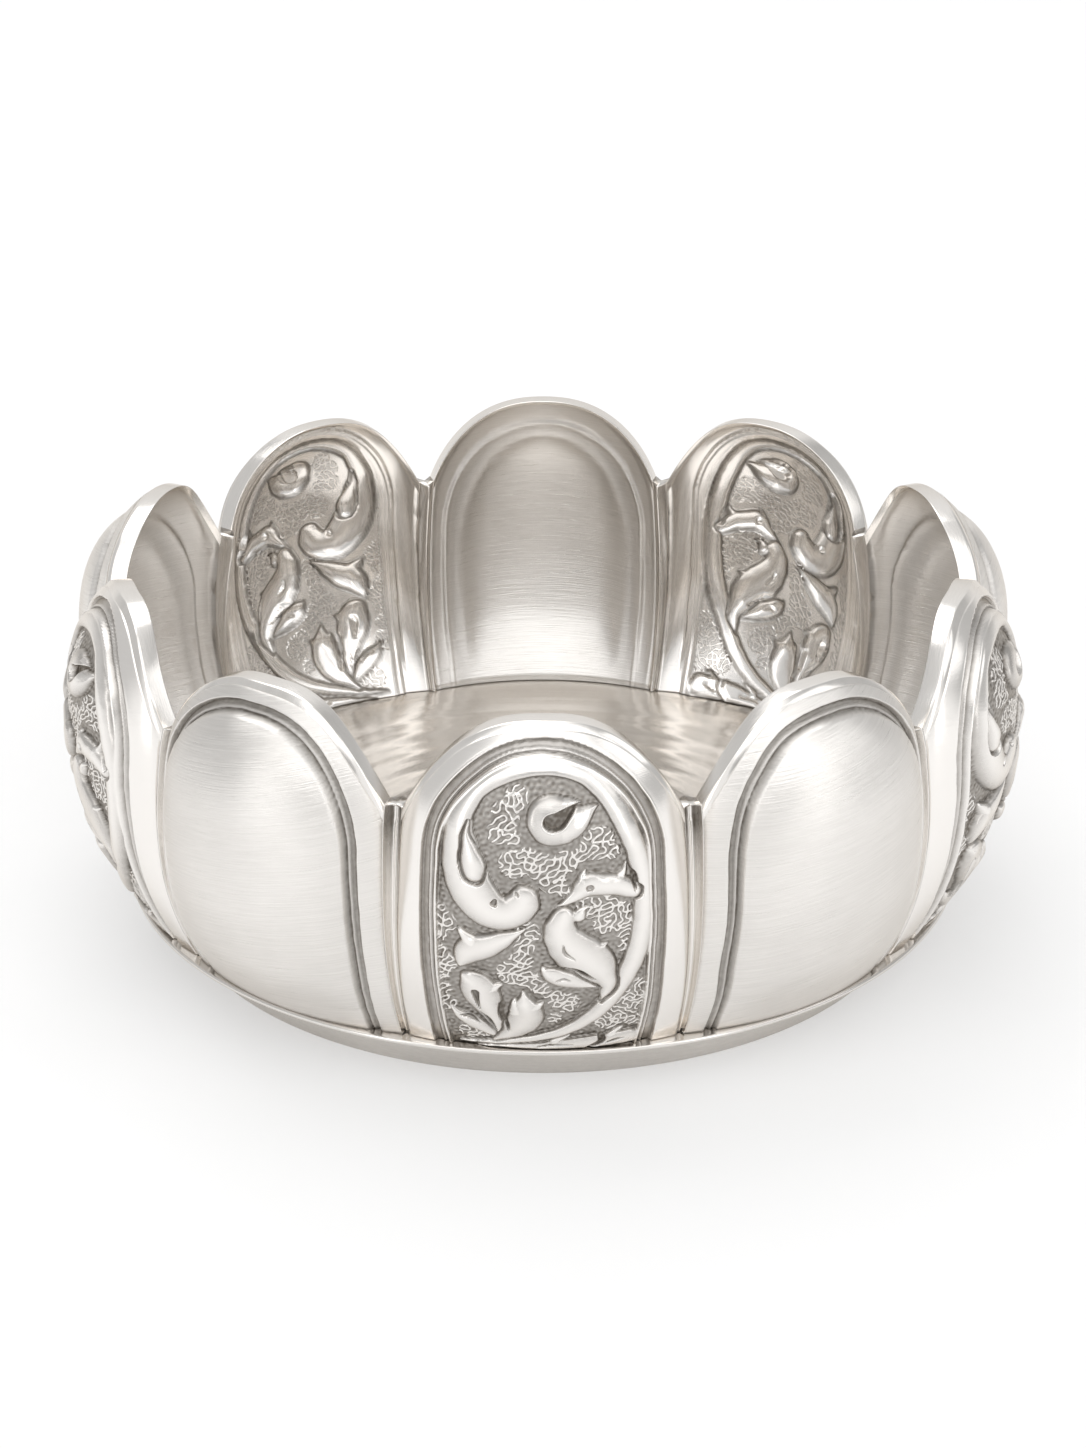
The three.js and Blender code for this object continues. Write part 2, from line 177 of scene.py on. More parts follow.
# Stations of a panel: steps in millimetres, and where they change as shares of its half width or its height
MEAN_HALF_WIDTH = 22.0
BAND_LAP = 0.9
FIELD_LAP = 0.6
SIDE_START = 0.45
SIDE_STEP = 0.45
GROOVE_STEP = 0.17
BAND_STEP = 0.42
UPPER_START = 0.5
UPPER_STEP = 0.3
TOP_START = 0.78
TOP_STEP = 0.22
CROWN_DROP = 5.4
TOP_PASSES = 30
TOP_PASS_SHARE = 0.7

# Chased relief
GROUND_DEPTH = 0.95
EDGE_STEP = 0.5
EDGE_WIDTH = 0.2
EDGE_WOBBLE = 0.03
EDGE_WOBBLE_LENGTH = 2.6
SWELL_HEIGHT = 0.9
MOAT_WIDTH = 0.35
MOAT_REACH = 1.2
MOAT_DEPTH = 0.9
WOBBLE_REACH = 0.9
FORM_BLEND = 6
FORM_RADIUS = 2.2
THIN_FORM_POWER = 0.7
FINEST_STROKE = 0.05
CURVE_PARTS = 6
CUT_GLEAM = 0.7
CURL_SIZE = 1.7
CURL_SPREAD = 0.35
CURL_WIDTH = 0.24
CURL_HEIGHT = 0.2
CURL_WAVES = 32
CURL_EVENNESS = 2
WORKED_SPREAD = 0.3
WORKED_EDGE = 0.1
BARE_HEIGHT = 0.02
FORM_HEIGHT = 0.2
GRAIN_HEIGHT = 0.03
GRAIN_LENGTH = 0.8
GRAIN_TONE = 0.07
FIELD_SEED = 40

# Handwork and finish, with tones of patina and of painted shade
HAND_WAVER = 0.04
HAND_WAVER_LENGTH = 11.0
FINE_WAVER = 0.015
FINE_WAVER_LENGTH = 3.5
DENT_HEIGHT = 0.05
DENT_LENGTH = 17.0
BRUSH_TILT = math.radians(11)
GROUND_TONE = 0.78
# Painted shade: the scroll's forms darken from their crowns towards their flanks
FLANK_PAINTED_SHADE = 0.6
FLANK_SHADE_POWER = 1.9
GROOVE_TONE = 0.7
CHASED_GROOVE_TONE = 0.85
INNER_TONE = 0.85
INNER_WORKED_TONE = 0.3
OUTLINE_WIDTH = 0.32
PLAIN_GROOVE_TONE = 0.95
RIB_TONE = 0.05
RIB_TONE_AT_NOTCH = 0.9
RIB_TONE_RISE = 6
VALLEY_TONE_POWER = 1.3
BEAD_GLEAM = 0.55
FOOT_TONE = 0.28
# Painted shade: the bowl's floor is darkened evenly, standing in for the darker inside of the bowl
FLOOR_PAINTED_SHADE = 0.15

# Painted shade on the inner faces, in soft dark lines and bands: strength, place and width
EDGE_SHADE = (0.4, 0.3, 0.25)
DOME_SHADE = (0.16, 2.0, 1.4)
LINE_SHADE = (0.2, -0.5, 0.25)
BAND_SHADE = (0.12, 1.0, 0.7)

# Worked out from the sizes above
BELLY_Z = LIP_Z - BELLY_DROP
NOTCH_Z = LIP_Z - NOTCH_DROP
WALL_RADIUS = LEDGE_RADIUS - WALL_SETBACK
BELLY_RADIUS = WALL_RADIUS + BELLY_SWELL
LIP_RADIUS = WALL_RADIUS + LIP_SWELL
HALF_LOBE = math.pi / LOBES


class Border:
    """The band and the groove round a field: widths at the sides of a panel, and drops at its top."""

    def __init__(self, band_side, band_top, groove_side, groove_top, shoulder_drop, roundness):
        self.band_side = band_side
        self.band_top = band_top
        self.groove_side = groove_side
        self.groove_top = groove_top
        self.field_side = band_side + groove_side
        self.field_top = band_top + groove_top
        self.shoulder_z = LIP_Z - shoulder_drop
        self.roundness = roundness


CHASED_BORDER = Border(
    CHASED_BAND_SIDE,
    CHASED_BAND_TOP,
    CHASED_GROOVE_SIDE,
    CHASED_GROOVE_TOP,
    CHASED_SHOULDER,
    CHASED_ROUNDNESS,
)
PLAIN_BORDER = Border(
    PLAIN_BAND_SIDE,
    PLAIN_BAND_TOP,
    PLAIN_GROOVE_SIDE,
    PLAIN_GROOVE_TOP,
    PLAIN_SHOULDER,
    PLAIN_ROUNDNESS,
)
INNER_LINE = Border(
    INNER_LINE_SIDE / 2,
    INNER_LINE_TOP / 2,
    INNER_LINE_SIDE / 2,
    INNER_LINE_TOP / 2,
    INNER_LINE_SHOULDER,
    INNER_LINE_ROUNDNESS,
)


def lerp(a, b, t):
    return a + (b - a) * t


def smoothstep(low, high, x):
    """A smooth rise from 0 at low to 1 at high, or a fall where low is the larger."""
    t = np.clip((x - low) / (high - low), 0, 1)
    return t * t * (3 - 2 * t)


def ridge(x, place, width):
    """A soft ridge of unit height over the place."""
    return np.exp(-(((x - place) / width) ** 2))


def vault(across):
    """A hump of unit height with a flat top, from 0 to 1."""
    return np.sqrt(1 - (2 * across - 1) ** 4)


def share(z):
    """How far up the wall a height is, from 0 at the ledge to 1 at the notch."""
    return np.clip((z - LEDGE_Z) / (NOTCH_Z - LEDGE_Z), 0, 1)


def meridian(z):
    """Outside radius of a lobe's middle at height z."""
    below = np.clip((BELLY_Z - z) / (BELLY_Z - LEDGE_Z), 0, None)
    above = np.clip((z - BELLY_Z) / (LIP_Z - BELLY_Z), 0, None)
    return (
        BELLY_RADIUS
        - (BELLY_RADIUS - WALL_RADIUS) * below**LOWER_ROUNDNESS
        - (BELLY_RADIUS - LIP_RADIUS) * above**UPPER_ROUNDNESS
    )


def arch_height(u):
    across = np.clip(np.abs(u), 0, 1)
    return NOTCH_Z + (LIP_Z - NOTCH_Z) * (1 - across**ARCH_POWER) ** ARCH_ROOT


def wall_radius(u, z):
    up = np.clip((z - LEDGE_Z) / (arch_height(u) - LEDGE_Z), 0, 1)
    return meridian(z) - lerp(SCALLOP_AT_LEDGE, SCALLOP_AT_LIP, up) * u * u


def wall_thickness(z):
    return lerp(WALL_AT_LEDGE, WALL_AT_LIP, np.clip((z - LEDGE_Z) / (LIP_Z - LEDGE_Z), 0, 1))


def half_width(z):
    scallop = lerp(SCALLOP_AT_LEDGE, SCALLOP_AT_LIP, share(z))
    return (meridian(z) - scallop / 3) * HALF_LOBE


def rib_edge(z):
    return 1 - lerp(RIB_AT_LEDGE, RIB_AT_NOTCH, share(z)) / 2 / half_width(z)


def panel_edge(z):
    return rib_edge(z) - EDGE_LINE / half_width(z)


def under_arch(u, distance):
    """Height of a line that runs under the rim at u, the given distance inside the arch."""
    across = np.abs(u)
    drop = arch_height(across - SLOPE_STEP) - arch_height(across + SLOPE_STEP)
    slope = drop / (2 * SLOPE_STEP * half_width(NOTCH_Z))
    return arch_height(u) - distance * np.hypot(1, slope)


def corner_height(distance):
    """Height at which that line meets the panel's side."""
    z = NOTCH_Z
    for _ in range(CORNER_PASSES):
        z = under_arch(panel_edge(z), distance)
    return z


def wall_point(azimuth, u, z, proud):
    """Points of the wall in metres, from the lobe's azimuth, u, height and distance outside the wall."""
    angle = azimuth + u * HALF_LOBE - math.pi / 2
    radius = wall_radius(u, z) + proud
    return np.stack([radius * np.cos(angle), radius * np.sin(angle), z], axis=-1) * MM


def waves(x, y, wavelength, seed, count=24):
    """A smooth random field of unit strength with one wavelength, the same on each run."""
    rng = np.random.default_rng(seed)
    total = np.zeros(np.shape(x))
    for turn, phase in rng.uniform(0, 2 * math.pi, (count, 2)):
        total += np.cos((x * math.cos(turn) + y * math.sin(turn)) * 2 * math.pi / wavelength + phase)
    return total / math.sqrt(count / 2)


# The scroll on a chased panel, seen from outside. Each list of strokes merges into one form, and a stroke
# is a line of points. A point has millimetres across from the lobe's middle, height above the foot, and the
# stroke's half width.
SCROLL = [
    [
        [(-12.9, 9.7, 0.2), (-7.4, 10.3, 0.6), (-1.5, 11.7, 0.9), (4, 14.1, 1.2), (8.6, 18.2, 1.5),
         (11.8, 23.8, 1.8), (14, 28.9, 1.9), (15, 34.2, 1.9), (15.1, 38.9, 1.8), (14.5, 43.6, 1.8),
         (12.8, 49.1, 1.7), (10.1, 54.1, 1.6), (6.8, 57.6, 1.4), (2.8, 59.3, 1.4), (-1.1, 59.5, 1.4),
         (-5.2, 58.6, 1.5), (-9, 56.4, 1.5), (-11.1, 53.6, 1.6), (-12.3, 50.7, 2.1),
         (-12.1, 47.2, 2.9), (-11.6, 43.6, 3.5), (-10.3, 40.5, 3.7), (-8, 37.9, 3.3),
         (-5.2, 37.4, 2.8), (-3.2, 38.8, 2.7), (-2.7, 40.1, 2.2)],
    ],
    [
        [(1.3, 52.3, 3.7), (1.7, 52.2, 3.6)],
        [(3, 51.6, 2.8), (5.2, 52.5, 1.7), (6.8, 53.6, 0.7), (8, 54, 0.1)],
        [(1.7, 55, 0.8), (4, 54.8, 0.6), (5.6, 54.7, 0.1)],
    ],
    [
        [(13.4, 40, 1.3), (10.7, 41.5, 1.8), (8.3, 41.9, 1.9), (6.6, 42.1, 2), (5.1, 40.8, 1.3),
         (3.5, 39.5, 0.7), (1.7, 38.3, 0.1)],
        [(10.5, 42, 1.2), (11.7, 43.4, 0.6), (12.1, 44.9, 0.1)],
        [(8.3, 42.4, 1.3), (7.5, 43.5, 0.6), (7.4, 43.9, 0.2)],
        [(6, 42.4, 1.3), (5.7, 43.7, 0.6), (6.1, 44.6, 0.1)],
    ],
    [
        [(3.4, 38.1, 0.5), (3, 36.9, 1.7), (2.5, 35, 2.4), (3, 32.8, 2.9), (4.8, 30.5, 3.6),
         (7.1, 28.3, 3.6), (9, 25.7, 2.1), (9.7, 23.4, 1.4), (8.6, 20.2, 0.2)],
        [(7.5, 30.8, 1.2), (8.9, 31.4, 0.6), (9.7, 31.7, 0.1)],
        [(5.2, 36.9, 1.2), (5.6, 37.9, 0.6), (6.8, 38.4, 0.1)],
    ],
    [
        [(8.4, 23.1, 0.1), (6.1, 24.1, 0.9), (3.6, 25.3, 1.7), (1.5, 26.2, 1.6), (0.2, 27.1, 0.6),
         (-0.1, 27.8, 0.1)],
    ],
    [
        [(-2.3, 34.9, 0.1), (-4, 33.9, 0.7), (-6.2, 32.5, 1.6), (-8.6, 31.1, 2.3), (-10.7, 30.1, 2.4),
         (-11.9, 28.5, 1.6), (-12.6, 26.5, 0.2)],
        [(-10.5, 31.6, 1.6), (-12, 33.1, 0.7), (-12.7, 33.9, 0.1)],
    ],
    [
        [(-6.5, 12.2, 0.4), (-7, 15.5, 1.2), (-8.1, 18.8, 2.1), (-9.4, 22, 3.1), (-10.6, 24.2, 2),
         (-12.3, 25.3, 0.2)],
        [(-8.2, 22.5, 1.6), (-6.8, 23.6, 0.6), (-6, 23.8, 0.1)],
    ],
    [
        [(-14.2, 18.2, 0.1), (-12.9, 16.6, 0.9), (-11.1, 15.4, 1.4), (-9.2, 14.1, 1.3),
         (-7.3, 12.3, 0.6)],
    ],
    [
        [(-7.4, 11, 0.4), (-5, 13.1, 1.4), (-3.1, 15.8, 2.7), (-2.4, 18.2, 2.6), (-2.7, 20.8, 1.2),
         (-3, 22.7, 0.1)],
        [(-2.3, 19, 2), (-0.5, 20, 0.6), (0.1, 20.4, 0.1)],
        [(-3.7, 18.5, 1.6), (-4.3, 20.4, 0.5), (-4.2, 21.1, 0.1)],
    ],
    [
        [(-10.1, 8.8, 0.1), (-5.4, 9.2, 0.5), (-0.7, 9.5, 0.9), (4, 10.1, 1.3), (7.9, 10.4, 1.6),
         (11.9, 10.7, 1.7), (13.4, 10.9, 1.7)],
        [(1.7, 10.8, 0.8), (3.2, 11.8, 0.4), (4.2, 12.4, 0.1)],
        [(10.3, 11.7, 0.8), (11.5, 12.9, 0.4), (12.5, 13.3, 0.1)],
    ],
    [
        [(-10.8, 51.5, 0.1), (-11.2, 49.5, 0.6), (-10.8, 47.2, 1.3), (-10.2, 45, 2), (-10.1, 43.7, 1.7)],
    ],
]

# Hollows cut into the scroll: the share of its height that is left, and a line as above
CUTS = [
    (0, [(1.3, 52.3, 1.3), (2.1, 52.6, 1.2), (3.4, 53.6, 0.7), (5, 54.6, 0.1)]),
    (0.5, [(6.7, 41.8, 0.6), (6.7, 41.8, 0.6)]),
    (0, [(12.7, 43.9, 0.1), (13.2, 42.8, 0.5), (13.6, 41.2, 0.4), (13.6, 40.1, 0.1)]),
    (0.35, [(-7.1, 39.2, 0.5), (-6.9, 39.7, 0.3)]),
    (0.5, [(-3.7, 40.9, 0.3), (-3.9, 41.2, 0.2)]),
    (0.6, [(2.9, 32.3, 0.1), (3.2, 30.8, 0.3), (4.7, 29.4, 0.1)]),
    (0.6, [(2.1, 25.4, 0.2), (3, 25.7, 0.3), (4, 25.3, 0.1)]),
    (0.2, [(-10.1, 22.2, 0.6), (-9.9, 20.9, 0.4), (-9.4, 18.9, 0.1)]),
    (0.15, [(-12.4, 16.5, 0.2), (-10.9, 16.4, 0.4), (-9.4, 15.2, 0.1)]),
    (0, [(-6, 20, 0.6), (-6.2, 17.8, 0.5), (-5.4, 15.5, 0.4), (-5.1, 13.9, 0.1)]),
    (0, [(-9.5, 17.9, 0.2), (-8.2, 16.5, 0.4), (-7, 13.8, 0.1)]),
    (0, [(1.8, 28, 0.2), (5, 27.2, 0.4), (7.6, 25.3, 0.1)]),
    (0.1, [(-0.7, 9.6, 0.2), (1.7, 10.1, 0.3), (4.5, 9.9, 0.1)]),
    (0.1, [(9.7, 10, 0.2), (11.1, 10.6, 0.3), (12.3, 10.8, 0.1)]),
    (0, [(8.9, 12, 0.6), (8.8, 10.4, 0.6), (6.2, 8.6, 0.2)]),
    (0.3, [(-10.1, 10.1, 0.2), (-9.2, 10.3, 0.2)]),
]

# Places on the ground that are worked with fine curls: across, height and radius
WORKED = [
    (-3.7, 55.3, 1.5), (-5.4, 52.7, 1.9), (-6.6, 50, 1.4), (-4.4, 49.5, 1), (-4.2, 45.4, 2),
    (-2.3, 46.5, 1.4), (-0.3, 45.1, 2), (1.3, 42.8, 1.8), (2.8, 41.2, 0.8), (3.2, 45.8, 1.6),
    (7.9, 48.4, 2.3), (10.1, 46.8, 0.9), (5.2, 46.8, 0.9), (6.6, 37.9, 1.6), (9.3, 38.1, 1.6),
    (11.5, 36.1, 2), (9.1, 35, 1.6), (12.1, 33.4, 1.3), (12.3, 30.5, 0.9), (-15.6, 36.1, 0.8),
    (-14.8, 34.2, 1.6), (-15.6, 31.6, 0.8), (-15.6, 28.9, 0.8), (-14.9, 26.6, 1.6), (-15.3, 24.2, 0.8),
    (-15.1, 21.5, 0.9), (-14.8, 18.4, 1.4), (-2.3, 33.8, 1.7), (-2.7, 31.4, 1.3), (-3.3, 28.5, 1.6),
    (-4.6, 26.2, 2.1), (-2.3, 25.1, 1.6), (-0.5, 23.4, 1.2), (1.7, 21.2, 1.3), (3.4, 19.9, 1.9),
    (1.7, 16.5, 0.9), (14.8, 22.5, 0.9), (13.8, 19.5, 1.8), (12.5, 17.2, 2), (13.9, 14.6, 1.2),
    (10.1, 15.3, 2.1), (-11.2, 12.3, 1.6), (-9, 12.3, 0.9),
]


def curve_through(points):
    """A Catmull-Rom curve through the points, as points."""
    p = np.array(points, float)
    p = np.vstack([2 * p[0] - p[1], p, 2 * p[-1] - p[-2]])
    t = (np.arange(CURVE_PARTS) / CURVE_PARTS)[:, None]
    runs = []
    for a, b, c, d in zip(p, p[1:], p[2:], p[3:]):
        bend = (2 * a - 5 * b + 4 * c - d) * t**2
        twist = (3 * b - a - 3 * c + d) * t**3
        runs.append((2 * b + (c - a) * t + bend + twist) / 2)
    line = np.vstack([*runs, p[-2:-1]])
    line[:, 2] = np.maximum(line[:, 2], FINEST_STROKE)
    return line


def inside_stroke(x, y, points, reach):
    """How far inside a stroke each point lies, negative outside, and the stroke's half width there."""
    line = curve_through(points)
    low = (line[:, :2] - line[:, 2:]).min(axis=0) - reach
    high = (line[:, :2] + line[:, 2:]).max(axis=0) + reach
    near = (x > low[0]) & (x < high[0]) & (y > low[1]) & (y < high[1])
    px = x[near]
    py = y[near]
    best = np.full(px.shape, -reach)
    size = np.full(px.shape, 1.0)
    for (ax, ay, ar), (bx, by, br) in zip(line, line[1:]):
        dx = bx - ax
        dy = by - ay
        t = np.clip(((px - ax) * dx + (py - ay) * dy) / (dx * dx + dy * dy + 1e-9), 0, 1)
        radius = ar + (br - ar) * t
        inside = radius - np.hypot(px - ax - dx * t, py - ay - dy * t)
        size = np.where(inside > best, radius, size)
        best = np.maximum(best, inside)
    depth = np.full(x.shape, -reach)
    half = np.full(x.shape, 1.0)
    depth[near] = best
    half[near] = size
    return depth, half


def ring_inset(u, z, border):
    """Millimetres in from a panel's edge at the height of its sides, along rings that follow the arch."""
    low = np.full(u.shape, OUTERMOST_INSET)
    high = np.full(u.shape, INNERMOST_INSET)
    edge = panel_edge(z)
    width = half_width(z)
    for _ in range(INSET_PASSES):
        inset = (low + high) / 2
        shoulder_z = border.shoulder_z - FIELD_SINK * np.clip(inset - border.field_side, 0, None)
        rise = np.clip(z - shoulder_z, 0, None)
        band = inset * border.band_top / border.band_side
        groove = border.band_top + (inset - border.band_side) * border.groove_top / border.groove_side
        field = border.field_top + (inset - border.field_side) * FIELD_LEAN
        top = np.where(inset < border.band_side, band, np.where(inset < border.field_side, groove, field))
        across = np.clip(edge - inset / width, 1e-3, None)
        part = np.clip(rise / (LIP_Z - top - shoulder_z), 0, 2)
        inside = np.abs(u / across) ** border.roundness + part**border.roundness < 1
        low = np.where(inside, inset, low)
        high = np.where(inside, high, inset)
    return (low + high) / 2


def border_relief(inset, border):
    """The band and the groove with its bead: relief outside, darkness, and the band's rounding."""
    rounding = vault(np.clip(inset / border.band_side, 0, 1))
    into = inset - border.band_side
    out = border.groove_side - into
    sunk = smoothstep(-GROOVE_LAP, GROOVE_SLOPE, into) * smoothstep(-GROOVE_LAP, GROOVE_SLOPE, out)
    bead = np.sqrt(np.clip(1 - ((out - BEAD_INSET) / BEAD_WIDTH) ** 2, 0, 1))
    lips = ridge(into, LIP_LINE_PLACE, LIP_LINE_WIDTH) + ridge(out, LIP_LINE_PLACE, LIP_LINE_WIDTH)
    groove = GROOVE_DEPTH * sunk - BEAD_HEIGHT * bead * sunk
    relief = BAND_CROWN * rounding * (into < 0) + LIP_LINE * lips - groove
    corners = ridge(into, GROOVE_SLOPE, GROOVE_CORNER) + ridge(out, GROOVE_SLOPE, GROOVE_CORNER)
    dark = sunk * (1 - BEAD_GLEAM * bead) * GROOVE_TONE + (1 - GROOVE_TONE) * corners
    return relief, dark, rounding * (into < 0)


def scroll_relief(x, y, seed):
    """The scroll: height above the ground, depth of its hollow inside, how dark it is from patina and painted
    shade, and its outline.
    """
    height = np.zeros(x.shape)
    hollow = np.zeros(x.shape)
    outline = np.zeros(x.shape)
    dark = np.full(x.shape, GROUND_TONE)
    wobble = EDGE_WOBBLE * waves(x, y, EDGE_WOBBLE_LENGTH, seed)
    for strokes in SCROLL:
        depth = np.full(x.shape, -MOAT_REACH)
        form = np.zeros(x.shape)
        dish = np.zeros(x.shape)
        flank_shade = np.zeros(x.shape)
        for points in strokes:
            own, half = inside_stroke(x, y, points, MOAT_REACH)
            own = np.where(own > -WOBBLE_REACH * MOAT_REACH, own + wobble, own)
            inwards = np.clip(own, 0, None)
            edge = EDGE_STEP * (1 - np.exp(-inwards / EDGE_WIDTH))
            round_off = 1 - np.clip(inwards / half, 0, 1)
            fullness = np.clip(half / FORM_RADIUS, 0, 1) ** THIN_FORM_POWER
            swell = SWELL_HEIGHT * np.sqrt(1 - round_off**2) * fullness
            form += (edge + swell) ** FORM_BLEND
            dish += swell**FORM_BLEND
            # Painted shade: each form darkens towards its flanks
            flank_shade = np.where(own > depth, FLANK_PAINTED_SHADE * round_off**FLANK_SHADE_POWER, flank_shade)
            depth = np.maximum(depth, own)
        form = form ** (1 / FORM_BLEND)
        dish = dish ** (1 / FORM_BLEND)
        moat = smoothstep(-MOAT_WIDTH, 0, depth) * (depth < 0)
        height = np.where(depth > 0, form, height * (1 - MOAT_DEPTH * moat))
        hollow = np.where(depth > 0, dish, hollow * (1 - MOAT_DEPTH * moat))
        line = ridge(depth, 0, OUTLINE_WIDTH)
        outline = np.where(depth > 0, line, np.maximum(outline, line))
        outline_patina_and_flank_shade = np.maximum(1 - smoothstep(0, EDGE_WIDTH, depth), flank_shade)
        dark = np.where(depth > 0, outline_patina_and_flank_shade, np.maximum(dark, moat))
    for left, points in CUTS:
        depth, _ = inside_stroke(x, y, points, MOAT_REACH)
        cut = smoothstep(-EDGE_WIDTH / 2, EDGE_WIDTH, depth)
        height = height * lerp(1, left, cut)
        hollow = hollow * lerp(1, left, cut)
        dark = np.maximum(dark, cut * (1 - CUT_GLEAM * left))
    return height, hollow, dark, outline


def curl_distance(x, y, seed):
    """Millimetres to the nearest of the fine curls, which are the level lines of a smooth random field."""
    rng = np.random.default_rng(seed)
    level = np.zeros(x.shape)
    slope_x = np.zeros(x.shape)
    slope_y = np.zeros(x.shape)
    for turn, phase, size in rng.uniform(0, 1, (CURL_WAVES, 3)):
        wave = 2 * math.pi / (CURL_SIZE * (1 + CURL_SPREAD * (2 * size - 1)))
        kx = math.cos(turn * 2 * math.pi) * wave
        ky = math.sin(turn * 2 * math.pi) * wave
        angle = x * kx + y * ky + phase * 2 * math.pi
        level += np.cos(angle)
        slope_x -= kx * np.sin(angle)
        slope_y -= ky * np.sin(angle)
    return level / (np.hypot(slope_x, slope_y) + CURL_EVENNESS)


def worked_place(x, y):
    """1 on the ground that is worked with curls, 0 elsewhere."""
    place = np.full(x.shape, -np.inf)
    for across, up, radius in WORKED:
        place = np.maximum(place, radius + WORKED_SPREAD - np.hypot(x - across, y - up))
    return smoothstep(-WORKED_EDGE, WORKED_EDGE, place)


class ChasedField:
    """The field without its border: relief outside and inside, darkness, and where the fine curls run."""

    def __init__(self, x, z):
        height, hollow, dark, self.outline = scroll_relief(x, z, FIELD_SEED)
        bare = 1 - smoothstep(BARE_HEIGHT, FORM_HEIGHT, height)
        grain = waves(x, z, GRAIN_LENGTH, FIELD_SEED + 2) * bare
        self.level = curl_distance(x, z, FIELD_SEED + 1)
        self.worked = worked_place(x, z) * bare
        curls = ridge(self.level, 0, CURL_WIDTH) * self.worked
        self.pressed = -GROUND_DEPTH * INNER_RELIEF + HOLLOW_RELIEF * hollow
        self.relief = -GROUND_DEPTH + height + CURL_HEIGHT * curls + GRAIN_HEIGHT * grain
        self.dark = dark - GRAIN_TONE * grain


def puffed(past, swelling):
    """A dome's height at a distance in from its edge: a round shoulder, then a broad soft swell."""
    shoulder = np.clip(past / DOME_SHOULDER, 0, 1)
    swell = np.clip(past / DOME_REACH, 0, 1)
    return DOME_HEIGHT * np.sqrt(1 - (1 - shoulder) ** 2) + swelling * (1 - (1 - swell) ** 2)


def plain_field(inset):
    return puffed(inset - PLAIN_BORDER.field_side, DOME_SWELL)


def plain_inside(inset):
    """How far the inner face of a plain panel is pressed out: a channel, a fine line and a soft hollow."""
    across = np.clip(inset / INNER_LINE.field_side, 0, 1)
    channel = INNER_CHANNEL * vault(across) * (inset < INNER_LINE.field_side)
    past = inset - INNER_LINE.field_side
    line = -INNER_LINE_HEIGHT * ridge(past, 0, INNER_LINE_WIDTH)
    dome = INNER_RELIEF * puffed(past - INNER_HOLLOW_WIDTH, INNER_SWELL)
    hollow = INNER_HOLLOW * np.sin(np.clip(past / INNER_HOLLOW_WIDTH, 0, 1) * math.pi)
    return channel + line + dome + hollow


def faded(height, z):
    """Raised relief, fading out towards the ledge."""
    return np.where(height > 0, height * smoothstep(LEDGE_Z, LEDGE_Z + FADE_HEIGHT, z), height)


def spaced(stops):
    """Numbers from the first stop to the last, with a step given between each pair of stops."""
    runs = [np.array([stops[0][0]])]
    for (start, step), (end, _) in zip(stops, stops[1:]):
        count = max(1, round((end - start) / step))
        runs.append(np.linspace(start, end, count + 1)[1:])
    return np.concatenate(runs)


def even(values):
    """An odd number of stations, so that every second one includes both ends."""
    if len(values) % 2:
        return values
    return np.insert(values, 1, (values[0] + values[1]) / 2)


def panel_grid(across, up, border):
    """u and z of a panel's stations, in rows from the ledge to the arch, closest at its border."""
    band = (border.band_side - BAND_LAP) / MEAN_HALF_WIDTH
    field = (border.field_side + FIELD_LAP) / MEAN_HALF_WIDTH
    side = min(across, SIDE_STEP)
    steps = [(0, across), (SIDE_START, side), (1 - field, GROOVE_STEP), (1 - band, BAND_STEP), (1, 0)]
    half = spaced([(start, step / MEAN_HALF_WIDTH) for start, step in steps])
    s = even(np.concatenate([-half[::-1], half[1:]]))
    length = LIP_Z - WALL_Z
    upper = (UPPER_START, min(up, UPPER_STEP))
    top = (TOP_START, min(up, TOP_STEP))
    steps = [(0, up), upper, top, (1 - CROWN_DROP / length, GROOVE_STEP), (1, 0)]
    t = even(spaced([(start, step / length) for start, step in steps]))
    top_z = np.full(s.shape, LIP_Z - RIM_HEIGHT)
    for _ in range(TOP_PASSES):
        under_wire = under_arch(s * panel_edge(top_z), RIM_HEIGHT - WIRE_LAP)
        top_z = lerp(top_z, under_wire, TOP_PASS_SHARE)
    z = WALL_Z + t[:, None] * (top_z[None, :] - WALL_Z)
    u = s[None, :] * panel_edge(z)
    return u, z


